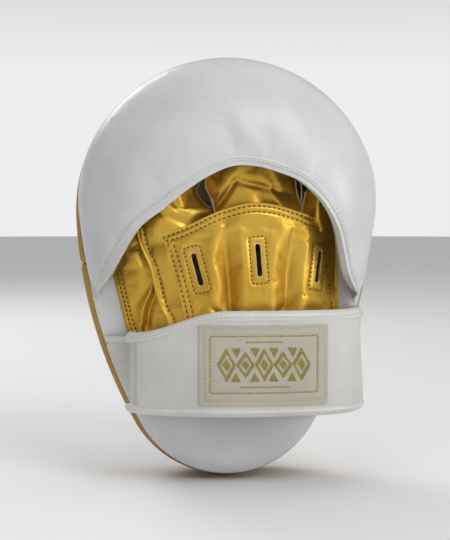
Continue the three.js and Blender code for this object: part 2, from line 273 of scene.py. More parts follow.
def normals(points):
    """Unit normals of a grid of points, on the side of (along columns) x (along rows)."""
    across = np.gradient(points, axis=1)
    up = np.gradient(points, axis=0)
    n = np.cross(across, up)
    return n / np.maximum(np.linalg.norm(n, axis=2, keepdims=True), 1e-9)


def sheet_mesh(name, points, scale=None):
    """A grid primitive laid over rows and columns of points; also gives each vertex's row and column."""
    rows, columns = points.shape[0] - 1, points.shape[1] - 1
    deselect()
    bpy.ops.mesh.primitive_grid_add(x_subdivisions=columns, y_subdivisions=rows, size=1)
    piece = bpy.context.object
    piece.name = piece.data.name = name
    flat = np.empty(3 * len(piece.data.vertices))
    piece.data.vertices.foreach_get("co", flat)
    at = flat.reshape(-1, 3) + 0.5
    column = np.rint(at[:, 0] * columns).astype(int)
    row = np.rint(at[:, 1] * rows).astype(int)
    placed = points[row, column]
    piece.data.vertices.foreach_set("co", (placed * scale if scale else framed(placed)).ravel())
    return piece, row, column


def grid(name, points, material, weld=False):
    """A sheet laid over rows and columns of points, with its seam or pole welded if asked."""
    piece, _, _ = sheet_mesh(name, points)
    if weld:
        with editing(piece):
            bpy.ops.mesh.remove_doubles(threshold=WELD_DISTANCE)
    finish_piece(piece, material)
    return piece


def finish_piece(piece, material):
    piece.data.materials.clear()
    piece.data.materials.append(material)
    only(piece)
    bpy.ops.object.shade_smooth()
    piece.data.update()


def apply(piece, kind, **settings):
    only(piece)
    modifier = piece.modifiers.new(kind.title(), kind)
    for key, value in settings.items():
        setattr(modifier, key, value)
    bpy.ops.object.modifier_apply(modifier=modifier.name)


def thicken(piece, thick, rounding=0.0):
    """Gives a sheet its thickness on the inner side, with its cut edges rounded over."""
    apply(piece, "SOLIDIFY", thickness=thick * MM, offset=-1, use_even_offset=False)
    if rounding:
        apply(piece, "BEVEL", width=rounding * MM, segments=2, limit_method="ANGLE", angle_limit=CUT_ANGLE)
    only(piece)
    bpy.ops.object.shade_smooth_by_angle(angle=SHARP_ANGLE)


def tube(name, line, radius, material, sides, closed=False):
    """A round cord of leather or thread along a line, with closed ends."""
    curve = bpy.data.curves.new(name, "CURVE")
    curve.dimensions = "3D"
    curve.bevel_depth = radius * MM
    curve.bevel_resolution = sides
    curve.use_fill_caps = True
    run = curve.splines.new("POLY")
    points = framed(line)
    run.points.add(len(points) - 1)
    run.points.foreach_set("co", np.hstack([points, np.ones((len(points), 1))]).ravel())
    run.use_cyclic_u = closed
    piece = bpy.data.objects.new(name, curve)
    bpy.context.collection.objects.link(piece)
    only(piece)
    bpy.ops.object.convert(target="MESH")
    piece = bpy.context.object
    piece.name = piece.data.name = name
    finish_piece(piece, material)
    return piece


def joined(name, pieces):
    deselect()
    for piece in pieces:
        piece.select_set(True)
    bpy.context.view_layer.objects.active = pieces[0]
    bpy.ops.object.join()
    piece = bpy.context.object
    piece.name = piece.data.name = name
    return piece


def draped(line, points, lift=0.0):
    """Lays a line given as (x, z) on a grid of points; gives its points and the surface's normals."""
    n = normals(points).reshape(-1, 3)
    p = points.reshape(-1, 3)
    line = np.asarray(line, float)
    gap = np.hypot(line[:, 0, None] - p[None, :, 0], line[:, 1, None] - p[None, :, 2])
    near = np.argpartition(gap, 4, axis=1)[:, :4]
    weight = 1 / (np.take_along_axis(gap, near, 1) + 1e-3)
    weight /= weight.sum(1, keepdims=True)
    out = (n[near] * weight[..., None]).sum(1)
    out /= np.linalg.norm(out, axis=1, keepdims=True)
    y = (p[near][..., 1] * weight).sum(1)
    return np.stack([line[:, 0], y, line[:, 1]], axis=1) + out * lift, out


def pressed(points, lines, depth, width):
    """Draws a grid of points in along stitched lines, as thread does."""
    n = normals(points)
    p = points.reshape(-1, 3)
    nearest = np.full(len(p), 1e9)
    for line in lines:
        line = evenly(line, max(8, int(length(line))))
        for start in range(0, len(p), 4000):
            part = p[start : start + 4000]
            if line.shape[1] == 2:
                d = np.hypot(part[:, 0, None] - line[None, :, 0], part[:, 2, None] - line[None, :, 1])
            else:
                d = np.linalg.norm(part[:, None] - line[None], axis=2)
            nearest[start : start + 4000] = np.minimum(nearest[start : start + 4000], d.min(1))
    dent = depth * np.exp(-((nearest / width) ** 2))
    return points - n * dent.reshape(points.shape[:2])[..., None]


def settled(points, free, swell, grow, limit, bend=4.0):
    """Lets a grid of leather find its own soft folds: cloth cut a little too large and blown up gently.

    free is 0 where the leather is held and 1 where it is loose; nothing moves further than limit. The
    cloth is worked at half the grid's fineness and its folds are carried over to the full grid.
    """
    row_pick = np.unique(np.rint(np.linspace(0, points.shape[0] - 1, points.shape[0] // 2)).astype(int))
    column_pick = np.unique(np.rint(np.linspace(0, points.shape[1] - 1, points.shape[1] // 2)).astype(int))
    coarse = points[np.ix_(row_pick, column_pick)]
    loose = np.broadcast_to(free, points.shape[:2])[np.ix_(row_pick, column_pick)]
    piece, row, column = sheet_mesh("cloth", coarse, CLOTH_SCALE)
    held = piece.vertex_groups.new(name="held")
    for index, weight in enumerate(1 - loose[row, column]):
        if weight > 0.001:
            held.add([index], float(weight), "REPLACE")
    cloth = piece.modifiers.new("Cloth", "CLOTH")
    cloth.settings.quality = 5
    cloth.settings.mass = 0.3
    cloth.settings.air_damping = 4
    cloth.settings.tension_stiffness = cloth.settings.compression_stiffness = 20
    cloth.settings.shear_stiffness = 12
    cloth.settings.bending_stiffness = bend
    cloth.settings.vertex_group_mass = "held"
    cloth.settings.shrink_min = -grow
    cloth.settings.use_pressure = True
    cloth.settings.uniform_pressure_force = swell
    cloth.settings.effector_weights.gravity = 0
    cloth.collision_settings.use_collision = False
    cloth.point_cache.frame_start, cloth.point_cache.frame_end = 1, CLOTH_FRAMES
    for moment in range(1, CLOTH_FRAMES + 1):
        bpy.context.scene.frame_set(moment)
    flat = np.empty(3 * len(piece.data.vertices))
    result = piece.evaluated_get(bpy.context.evaluated_depsgraph_get()).to_mesh()
    result.vertices.foreach_get("co", flat)
    moved = np.zeros_like(coarse)
    moved[row, column] = flat.reshape(-1, 3) / CLOTH_SCALE - coarse[row, column]
    bpy.data.objects.remove(piece, do_unlink=True)
    bpy.context.scene.frame_set(1)
    far = np.linalg.norm(moved, axis=2, keepdims=True)
    moved *= np.minimum(1, limit / np.maximum(far, 1e-6))
    wide = np.empty((len(row_pick), points.shape[1], 3))
    full = np.empty_like(points)
    for axis in range(3):
        for k in range(len(row_pick)):
            wide[k, :, axis] = np.interp(np.arange(points.shape[1]), column_pick, moved[k, :, axis])
        for k in range(points.shape[1]):
            full[:, k, axis] = np.interp(np.arange(points.shape[0]), row_pick, wide[:, k, axis])
    return points + full


def stitch_form():
    """One stitch: a short run of thread whose ends dip into the leather."""
    deselect()
    bpy.ops.mesh.primitive_uv_sphere_add(segments=8, ring_count=5, radius=1)
    ball = bpy.context.object
    flat = np.empty(3 * len(ball.data.vertices))
    ball.data.vertices.foreach_get("co", flat)
    form = flat.reshape(-1, 3)[:, [2, 1, 0]] * [1, 1, -1]
    faces = [tuple(f.vertices) for f in ball.data.polygons]
    bpy.data.objects.remove(ball, do_unlink=True)
    return form, faces


STITCH, STITCH_FACES = stitch_form()


def threads(name, middle, along, up, long, thick, material):
    """One stitch form copied to every place, each lying along its seam with its ends dipping in."""
    along = along / np.maximum(np.linalg.norm(along, axis=1, keepdims=True), 1e-9)
    up = up / np.linalg.norm(up, axis=1, keepdims=True)
    side = np.cross(up, along)
    x, y = STITCH[:, 0], STITCH[:, 1] * thick
    z = STITCH[:, 2] * thick * 0.8 + thick * 0.3 - 0.6 * thick * x**2
    verts = (
        middle[:, None]
        + along[:, None] * (x[None] * np.reshape(long, (-1, 1)) / 2)[..., None]
        + side[:, None] * y[None, :, None]
        + up[:, None] * z[None, :, None]
    ).reshape(-1, 3)
    step = len(STITCH)
    faces = [tuple(i + k * step for i in f) for k in range(len(middle)) for f in STITCH_FACES]
    mesh = bpy.data.meshes.new(name)
    mesh.from_pydata(framed(verts).tolist(), [], faces)
    piece = bpy.data.objects.new(name, mesh)
    bpy.context.collection.objects.link(piece)
    with editing(piece):
        bpy.ops.mesh.normals_make_consistent(inside=False)
    finish_piece(piece, material)
    return piece


def sewn(name, runs, material, pitch=2.9, long=2.0, thick=0.36):
    """Rows of stitches. Each run is (points, normals) along one seam."""
    middle, along, up = [], [], []
    for line, out in runs:
        count = max(1, int(round(length(line) / pitch)))
        fine = evenly(np.hstack([line, out]), 2 * count + 1)
        middle.append(fine[1::2, :3])
        along.append(fine[2::2, :3] - fine[:-1:2, :3])
        up.append(fine[1::2, 3:])
    return threads(name, np.vstack(middle), np.vstack(along), np.vstack(up), long, thick, material)


def bound_edge(name, edge, out, inward, profile, material, slim=1.0):
    """A binding folded round an edge: profile gives (distance in from the edge, height above it)."""
    section = np.asarray([*profile, profile[0]], float)
    slim = np.broadcast_to(slim, len(edge))[None, :, None]
    points = (
        edge[None]
        + inward[None] * section[:, 0, None, None] * (0.4 + 0.6 * slim)
        + out[None] * section[:, 1, None, None] * slim
    )
    piece = grid(name, points, material, weld=True)
    close_ends(piece)
    bpy.ops.object.shade_smooth_by_angle(angle=SHARP_ANGLE)
    return piece


def close_ends(piece):
    """Caps the open ends of a piece and turns all its faces outwards."""
    with editing(piece, "DESELECT", "EDGE"):
        bpy.ops.mesh.select_non_manifold()
        bpy.ops.mesh.fill()
        bpy.ops.mesh.select_all(action="SELECT")
        bpy.ops.mesh.normals_make_consistent(inside=False)


def round_binding(width, thick, proud, turns=11):
    """Profile of a binding: flat on the outer side, round over the edge, flat on the inner side."""
    r = thick / 2 + proud
    sweep = np.linspace(math.pi / 2, -math.pi / 2, turns)
    arc = [(r * (1 - math.cos(a)), -thick / 2 + r * math.sin(a)) for a in sweep]
    outer = [(width, -0.3), (width - 0.3, proud * 0.7), (width - 1.0, proud), (width / 2, proud * 1.1)]
    inner = [(x, -thick - y) for x, y in outer[::-1]]
    return [*outer, *arc, *inner]


# ---------------------------------------------------------------- materials


def finish(name):
    """A new material, with its node tree, its shader and the coordinates its pattern is laid out in."""
    material = bpy.data.materials.new(name)
    material.use_nodes = True
    tree = material.node_tree
    where = tree.nodes.new("ShaderNodeTexCoord").outputs["Object"]
    return material, tree, tree.nodes["Principled BSDF"], where


def feed(tree, socket, value):
    """Links a socket, or sets it when the value is a plain number or colour."""
    if isinstance(value, bpy.types.NodeSocket):
        tree.links.new(value, socket)
    else:
        socket.default_value = value


def add(tree, kind, **inputs):
    """A new node; each keyword is one of its inputs, with _ for a space, or else one of its settings."""
    node = tree.nodes.new(kind)
    for key, value in inputs.items():
        name = key.replace("_", " ")
        if name in node.inputs:
            feed(tree, node.inputs[name], value)
        else:
            setattr(node, key, value)
    return node


def noise(tree, where, scale, detail=3.0):
    node = add(tree, "ShaderNodeTexNoise", Vector=where, Scale=scale, Detail=detail, Roughness=0.55)
    return node.outputs["Fac"]


def remap(tree, value, low, high, to_low, to_high):
    limits = dict(From_Min=low, From_Max=high, To_Min=to_low, To_Max=to_high)
    return add(tree, "ShaderNodeMapRange", Value=value, **limits).outputs["Result"]


def mixed(tree, factor, a, b):
    """Mixes two colours, each a tuple or a socket."""
    node = add(tree, "ShaderNodeMix", data_type="RGBA")
    for index, value in ((0, factor), (6, a), (7, b)):
        feed(tree, node.inputs[index], value)
    return node.outputs[2]


def math_node(tree, operation, a, b=0.0, clamp=False):
    node = add(tree, "ShaderNodeMath", operation=operation, use_clamp=clamp)
    feed(tree, node.inputs[0], a)
    feed(tree, node.inputs[1], b)
    return node.outputs[0]


def linear(shade):
    """A dye given as red, green and blue from 0 to 255, as the renderer takes it."""
    def one(c):
        c /= 255
        return c / 12.92 if c <= 0.04045 else ((c + 0.055) / 1.055) ** 2.4

    return (*map(one, shade), 1.0)


def bumped(tree, shader, layers):
    """Chains bump heights, each (height socket, distance in metres), into the shader's normal."""
    last = None
    for height, distance in layers:
        node = add(tree, "ShaderNodeBump", Strength=1.0, Distance=distance, Height=height)
        if last:
            feed(tree, node.inputs["Normal"], last)
        last = node.outputs["Normal"]
    tree.links.new(last, shader.inputs["Normal"])


def leather(name, light, dark, rough, metallic=0.0, depth=0.00005, blotch=0.5, coat=0.0, glance=(1, 1, 1, 1)):
    """Coated leather: pebbled grain, fine pores, soft cloudiness of colour and of gloss."""
    material, tree, shader, where = finish(name)
    cloud = noise(tree, where, LEATHER_CLOUDS, 4.0)
    fine = noise(tree, where, LEATHER_PORES)
    pebbles = dict(Vector=where, Scale=LEATHER_PEBBLES, Randomness=1.0, Smoothness=0.6)
    pebble = add(tree, "ShaderNodeTexVoronoi", feature="SMOOTH_F1", **pebbles).outputs["Distance"]
    tone = remap(tree, cloud, 0.35, 0.65, 0.5 - blotch / 2, 0.5 + blotch / 2)
    pore = remap(tree, pebble, 0.15, 0.75, 0.0, 0.16)
    shade = math_node(tree, "ADD", tone, pore, clamp=True)
    gloss = remap(tree, cloud, 0.3, 0.7, rough - 0.05, rough + 0.05), remap(tree, fine, 0.3, 0.7, -0.04, 0.04)
    feed(tree, shader.inputs["Base Color"], mixed(tree, shade, linear(light), linear(dark)))
    feed(tree, shader.inputs["Roughness"], math_node(tree, "ADD", *gloss))
    shader.inputs["Metallic"].default_value = metallic
    shader.inputs["Specular Tint"].default_value = glance
    shader.inputs["Coat Weight"].default_value = coat
    shader.inputs["Coat Roughness"].default_value = 0.3
    bumped(tree, shader, [(fine, depth * 1.2), (remap(tree, pebble, 0.1, 0.8, 1.0, 0.0), depth)])
    return material


def thread(name, light, dark, rough=0.6, sheen=0.3):
    """Twisted thread: flecked, with the twist as fine waves."""
    material, tree, shader, where = finish(name)
    speck = noise(tree, where, 900.0, 2.0)
    wave = add(tree, "ShaderNodeTexWave", Vector=where, Scale=900.0, Distortion=2.0)
    feed(tree, shader.inputs["Base Color"], mixed(tree, speck, linear(light), linear(dark)))
    feed(tree, shader.inputs["Roughness"], remap(tree, speck, 0.3, 0.7, rough - 0.08, rough + 0.08))
    shader.inputs["Sheen Weight"].default_value = sheen
    bumped(tree, shader, [(wave.outputs["Fac"], 0.00008)])
    return material


def textile(name, light, dark, scale=1400.0, depth=0.00012):
    """Woven or looped cloth: crossed waves for the yarn, with a fuzz of noise."""
    material, tree, shader, where = finish(name)
    yarns = []
    for turn in (0.0, math.pi / 2):
        turned = add(tree, "ShaderNodeMapping", Vector=where, Rotation=(0, turn, 0)).outputs["Vector"]
        wave = add(tree, "ShaderNodeTexWave", Vector=turned, Scale=scale, Distortion=1.2, Detail=1.0)
        yarns.append(wave.outputs["Fac"])
    weave = math_node(tree, "MULTIPLY", *yarns)
    fuzz = noise(tree, where, 1600.0)
    parts = remap(tree, weave, 0, 1, 0.0, 0.6), remap(tree, fuzz, 0.3, 0.7, 0.0, 0.4)
    tone = math_node(tree, "ADD", *parts, clamp=True)
    feed(tree, shader.inputs["Base Color"], mixed(tree, tone, linear(dark), linear(light)))
    feed(tree, shader.inputs["Roughness"], remap(tree, fuzz, 0.3, 0.7, 0.82, 0.96))
    shader.inputs["Sheen Weight"].default_value = 0.35
    bumped(tree, shader, [(fuzz, depth * 0.6), (weave, depth)])
    return material


def foam(name, light, dark):
    """Closed-cell foam: small round cells, darker in their middles."""
    material, tree, shader, where = finish(name)
    cell = add(tree, "ShaderNodeTexVoronoi", Vector=where, Scale=1100.0).outputs["Distance"]
    feed(tree, shader.inputs["Base Color"], mixed(tree, cell, linear(dark), linear(light)))
    feed(tree, shader.inputs["Roughness"], remap(tree, cell, 0, 1, 0.85, 1.0))
    bumped(tree, shader, [(cell, 0.0002)])
    return material


# how many of each leather feature there are to a metre, roughly
LEATHER_CLOUDS = 26.0
LEATHER_PORES = 420.0
LEATHER_PEBBLES = 900.0

WHITE = leather("white_leather", (216, 216, 217), (196, 197, 199), 0.4, depth=0.00002, coat=0.12)
STRAP_WHITE = leather("strap_leather", (212, 211, 206), (190, 189, 183), 0.43, depth=0.00003)
BINDING = leather("binding_leather", (222, 222, 218), (200, 199, 194), 0.38, depth=0.00002, coat=0.12)
LABEL = leather("label_leather", (190, 184, 168), (172, 166, 150), 0.5, depth=0.00003)
GOLD = leather(
    "gold_foil_leather", (228, 188, 82), (198, 154, 54), 0.4, metallic=0.8, depth=0.000015,
    glance=(0.95, 0.75, 0.4, 1),
)
GUSSET = leather(
    "gusset_gold_leather", (178, 142, 78), (154, 118, 60), 0.4, metallic=0.8, depth=0.00002, blotch=0.3,
    glance=(0.72, 0.58, 0.34, 1),
)
PIPING = leather("piping_gold", (220, 178, 90), (190, 146, 60), 0.3, metallic=0.85, depth=0.00002)
CUT_EDGE = leather("cut_leather_edge", (226, 216, 186), (196, 182, 148), 0.8)
LINING = textile("glove_lining", (208, 196, 160), (150, 138, 104))
HOOK = textile("hook_tape", (226, 225, 220), (170, 169, 164), scale=700.0, depth=0.0004)
LOOP = textile("loop_tape", (232, 231, 226), (190, 189, 184), scale=500.0, depth=0.0003)
FOAM = foam("closed_cell_foam", (70, 70, 74), (34, 34, 38))
WHITE_THREAD = thread("white_thread", (216, 214, 208), (170, 167, 160))
DARK_THREAD = thread("ochre_thread", (120, 84, 30), (76, 52, 14), rough=0.75, sheen=0.05)
LABEL_THREAD = thread("label_thread", (226, 222, 208), (176, 170, 152))
GOLD_THREAD = thread("gold_thread", (190, 170, 84), (128, 110, 44), rough=0.42, sheen=0.1)

# circles of the print, as (x, z, radius): the gold field, then white crescents, each a circle less another
FACE_FIELD = (-62, 124, 120)
FACE_BLADES = [
    ((16, 146, 54), (5, 129, 58)),
    ((18, 92, 46), (7, 76, 50)),
    ((10, 46, 38), (1, 33, 42)),
]
PRINT_EDGE = 0.12


def face_print():
    """The striking face: white leather with a dull gold sweep and three tapering blades."""
    material, tree, shader, where = finish("printed_face_leather")
    split = add(tree, "ShaderNodeSeparateXYZ", Vector=where)
    x, z = split.outputs["X"], split.outputs["Z"]

    def disc(middle_x, middle_z, radius):
        """1 inside a circle given in the mitt's layout, with a crisp printed edge."""
        across = math_node(tree, "SUBTRACT", x, middle_x * MM)
        up = math_node(tree, "SUBTRACT", z, middle_z * MM + TIP_Z_WORLD)
        squares = math_node(tree, "MULTIPLY", across, across), math_node(tree, "MULTIPLY", up, up)
        away = math_node(tree, "SQRT", math_node(tree, "ADD", *squares))
        return remap(tree, away, (radius - PRINT_EDGE) * MM, (radius + PRINT_EDGE) * MM, 1.0, 0.0)

    def without(a, b):
        return math_node(tree, "MINIMUM", a, math_node(tree, "SUBTRACT", 1.0, b))

    gold = disc(*FACE_FIELD)
    for outer, inner in FACE_BLADES:
        gold = without(gold, without(disc(*outer), disc(*inner)))
    cloud = remap(tree, noise(tree, where, 30.0, 4.0), 0.35, 0.65, 0, 1)
    fine = noise(tree, where, 700.0)
    cell = add(tree, "ShaderNodeTexVoronoi", Vector=where, Scale=1000.0).outputs["Distance"]
    ink = mixed(tree, cloud, linear((144, 111, 64)), linear((138, 105, 60)))
    bare = mixed(tree, cloud, linear((220, 221, 223)), linear((214, 215, 218)))
    feed(tree, shader.inputs["Base Color"], mixed(tree, gold, bare, ink))
    feed(tree, shader.inputs["Roughness"], remap(tree, gold, 0, 1, 0.42, 0.5))
    feed(tree, shader.inputs["Metallic"], remap(tree, gold, 0, 1, 0.0, 0.35))
    bumped(tree, shader, [(fine, 0.00004), (cell, 0.00003), (gold, 0.00005)])
    return material


# ---------------------------------------------------------------- striking pad


def wall_inset(y):
    """How far the bulged side wall stands in from its widest line."""
    front = FACE_INSET * ((y - BULGE_Y) / (FACE_Y - BULGE_Y)) ** 2
    back = BACK_INSET * ((y - BULGE_Y) / -BULGE_Y) ** 2
    return np.where(y < BULGE_Y, front, back)


def egg_sheet(inset, y_of, count=96, pull=1.0):
    """A sheet over the whole egg, as a square grid rounded to a disc and then to the outline."""
    a, b = np.meshgrid(np.linspace(-1, 1, count), np.linspace(-1, 1, count))
    u, v = a * np.sqrt(1 - b * b / 2), b * np.sqrt(1 - a * a / 2)
    reach = np.hypot(u, v)
    heading = np.arctan2(v, u)
    turns = np.linspace(-math.pi / 2, 1.5 * math.pi, 2000)
    ox, oz = egg(turns, inset)
    middle_z = (CROWN_Z + TIP_Z) / 2
    bearing = np.unwrap(np.arctan2(oz - middle_z, ox))
    order = np.argsort(bearing)
    radius = np.hypot(ox, oz - middle_z)
    wrapped = (heading - bearing[order][0]) % (2 * math.pi) + bearing[order][0]
    edge = np.interp(wrapped, bearing[order], radius[order])
    x = reach * edge * np.cos(heading)
    z = middle_z + reach * edge * np.sin(heading)
    depth = np.maximum(egg_depth(x, z) - inset, 0)
    depth = np.where(reach > 0.9999, 0.0, depth)
    return np.stack([x, y_of(x, z, depth), z], axis=2)


def around_pad(parts, heights, inset_of):
    """Rows at the given y, columns round the given parts of the outline."""
    turn = turn_at(parts)
    rows = []
    for y in heights:
        x, z = egg(turn, inset_of(y, turn))
        rows.append(np.stack([x, np.full_like(x, y), z], axis=1))
    return np.array(rows)


def outline_part(z):
    """Part of the way round the outline at which the thumb side reaches a height."""
    side = _outline[: len(_outline) // 2]
    return float(np.interp(z, side[:, 1], _walked[: len(side)] / _walked[-1]))


def build_face():
    """The padded face, the piping round it and the stitches that hold the two together."""
    def face_height(x, z, depth):
        rim = 5.0 * np.clip(1 - depth / 15.0, 0, 1) ** 2.3
        return FACE_Y - 0.7 + rim + 0.22 * ripple(x, z, 3.0, 17.0) * smooth(depth, 0, 12)

    face = grid("face_leather", egg_sheet(FACE_INSET + 0.6, face_height, 150), face_print())
    thicken(face, FACE_THICK)
    belongs(face, "mitt", "striking_face")

    turn = turn_at(np.linspace(0, 1, 361)[:-1])
    x, z = egg(turn, FACE_INSET + 0.2)
    y = FACE_SEAM_Y - 0.2 + 0.12 * np.sin(turn * 23) * np.sin(turn * 7)
    piping = tube("face_piping_cord", np.stack([x, y, z], axis=1), PIPING_R, PIPING, 4, closed=True)
    belongs(piping, "mitt", "face_piping")

    seam_x, seam_z = egg(turn, FACE_INSET + 2.2)
    out_x, out_z = egg(turn, -40)
    line = np.stack([seam_x, np.full_like(seam_x, FACE_SEAM_Y - 1.1), seam_z], axis=1)
    out = np.stack([0.5 * (seam_x - out_x), np.full_like(seam_x, -40.0), 0.5 * (seam_z - out_z)], axis=1)
    ring = [(np.vstack([line, line[:1]]), np.vstack([out, out[:1]]))]
    seam = sewn("face_seam_stitches", ring, DARK_THREAD, pitch=3.4, long=2.5, thick=0.3)
    belongs(seam, "mitt")


def build_wall():
    """The two gold strips of the side wall, butted together on both sides."""
    low, high = (outline_part(BUTT_SEAM_Z + gap) for gap in (-0.25, 0.25))
    ys = np.linspace(FACE_SEAM_Y - 0.3, 0.3, 26)

    def strip(name, first, last, count, node):
        parts = np.linspace(first, last, count)
        edge = np.minimum(parts - first, last - parts) * _walked[-1]
        tuck = 1.1 * np.exp(-((edge / 1.6) ** 2))

        def inset_of(y, turn):
            wave = 0.35 * ripple(np.full_like(turn, y), turn * 60, 5.0, 9.0)
            return wall_inset(y) + tuck + wave * math.sin(math.pi * (y - ys[0]) / (ys[-1] - ys[0]))

        piece = grid(name, around_pad(parts, ys, inset_of)[::-1], GUSSET)
        thicken(piece, WALL_THICK, ROUNDING)
        belongs(piece, "mitt", node)

    strip("gusset_crown_strip", high, 1 - high, 300, "gusset_upper")
    strip("gusset_tip_strip", -low, low, 260, "gusset_lower")


def build_back():
    def back_height(x, z, depth):
        return 0.15 + 1.1 * (1 - np.exp(-depth / 5.0)) + 0.1 * ripple(x, z, 8.0, 15.0)

    back = grid("back_leather", egg_sheet(BACK_INSET + 0.3, back_height, 100)[:, ::-1], WHITE)
    thicken(back, COVER_THICK)
    belongs(back, "mitt", "back_panel")


def build_core():
    """The three foam layers inside the pad, each a slab cut to the bulged side."""
    layers = [("front_foam", FACE_Y + 7, -25.6), ("middle_foam", -25.2, -8.7), ("back_foam", -8.3, -2.4)]
    for node, low, high in layers:
        inset_low, inset_high = (float(wall_inset(np.array(y))) + 3.0 for y in (low, high))
        turn = turn_at(np.linspace(0, 1, 181))
        rings = []
        for inset, y in [(60, low), (inset_low, low), (inset_high, high), (60, high)]:
            x, z = egg(turn, inset)
            rings.append(np.stack([x, np.full_like(x, y), z], axis=1))
        piece = grid(node + "_slab", np.array(rings)[::-1], FOAM, weld=True)
        close_ends(piece)
        belongs(piece, "mitt", node)


# ---------------------------------------------------------------- finger hood


# hollows (and, below zero, swellings) of the hood's cover
HOOD_HOLLOWS = [(1.5, -22, 0.0, 13, 213, 17), (-1.4, -11.5, 0.5, 8, 206, 18), (-0.9, 30, 0.0, 14, 214, 16)]
HOOD_SEAM_INSET = 1.4


def hood_points():
    """Rows from the arched edge (0) out to the side seam, columns from thumb to little finger."""
    columns, rows = 240, 84
    edge = spline(HOOD_EDGE, columns)
    first = outline_part(117.0)
    parts = np.linspace(first, 1 - outline_part(112.0), columns)
    turn = turn_at(parts)
    from_end = 1 - np.abs(np.linspace(-1, 1, columns))
    low_end = smooth(1 - from_end, 0.55, 0.95)
    seam_inset = HOOD_SEAM_INSET + 2.4 * low_end
    seam_x, seam_z = egg(turn, seam_inset)
    v = np.linspace(0, 1, rows)[:, None]
    # the rows crowd towards the seam, where the hood curves most
    w = 1 - (1 - v) ** 1.35
    x = edge[None, :, 0] * (1 - w) + seam_x[None] * w
    z = edge[None, :, 1] * (1 - w) + seam_z[None] * w
    depth = np.maximum(egg_depth(x, z) - seam_inset[None], 0)
    k = np.clip(depth / HOOD_REACH, 0, 1)
    y = 0.4 + HOOD_HEIGHT * (1 - (1 - k) ** 2) ** 0.58
    points = np.stack([x, y, z], axis=2)
    # the padding swells over the seam on the crown, and the cover has a few soft hollows
    n = normals(points)
    swell = 2.6 * np.exp(-((depth - 4.5) / 5.0) ** 2) * (1 - low_end)[None]
    radial = np.stack([x, 0 * x, z - CROWN_Z], axis=2)
    radial /= np.maximum(np.linalg.norm(radial, axis=2, keepdims=True), 1e-6)
    points = points + radial * swell[..., None]
    hollow = (
        folds(x, z, HOOD_HOLLOWS)
        + 1.1 * bump(x + 0.35 * (z - 200), -52, 9) * smooth(z, 160, 190)
        + 0.8 * bump(x - 0.8 * (z - 180), 44, 12)
        + 0.5 * ripple(x, z, 2.0, 14.0)
    )
    fade = smooth(depth, 3, 18) * smooth(v, 0.02, 0.2)
    points = points - n * (hollow * fade)[..., None]
    tucked_x, tucked_z = egg(turn, 5.2)
    points[-1] = np.stack([tucked_x, np.full_like(tucked_x, -0.4), tucked_z], axis=1)
    # both ends are drawn in, so that they don't stand out past the side seam
    points[..., 0] *= 1 - 0.042 * (1 - smooth(from_end, 0.0, 0.07))
    free = smooth(depth, 1.5, 9) * smooth(v, 0.03, 0.16)
    return settled(points, free, swell=1.5, grow=0.006, limit=2.0, bend=6.0)


def build_hood():
    """Cover, padding and lining of the hood, thinned to nothing at both ends, and its bound edge."""
    points = hood_points()
    n = normals(points)
    slim = 0.12 + 0.88 * smooth(1 - np.abs(np.linspace(-1, 1, points.shape[1])), 0.0, 0.14)
    cover = grid("hood_leather", points, WHITE)
    thicken(cover, COVER_THICK)
    belongs(cover, "mitt", "hood_cover")
    padding = (points - n * (1.4 * slim[None, :, None]))[4:-8, 26:-26]
    padding = grid("hood_padding", padding, FOAM)
    thicken(padding, 3.6)
    belongs(padding, "mitt", "hood_foam")
    lining = (points - n * ((HOOD_THICK - 0.9) * slim[None, :, None]))[2:-8, 12:-12]
    lining = grid("hood_inner_lining", lining, LINING)
    thicken(lining, 0.8)
    belongs(lining, "mitt", "hood_lining")

    edge, out = points[0], n[0]
    inward = points[3] - points[0]
    inward -= out * (inward * out).sum(1, keepdims=True)
    along = np.gradient(edge, axis=0)
    inward -= along * ((inward * along).sum(1) / (along * along).sum(1))[:, None]
    inward /= np.linalg.norm(inward, axis=1, keepdims=True)
    profile = round_binding(HOOD_BAND, HOOD_THICK, 0.55)
    binding = bound_edge("hood_edge_binding", edge, out, inward, profile, BINDING, slim)
    belongs(binding, "mitt", "hood_binding")
    seam_in = HOOD_BAND - 1.5
    line = edge + inward * seam_in + out * 0.6
    inner = edge + inward * seam_in - out * (HOOD_THICK + 0.6)
    keep = slice(14, -14)
    runs = [(line[keep], out[keep]), (inner[keep], -out[keep])]
    seam = sewn("hood_edge_stitches", runs, WHITE_THREAD, pitch=2.9, long=2.1, thick=0.3)
    belongs(seam, "mitt")


# ---------------------------------------------------------------- heel cushion


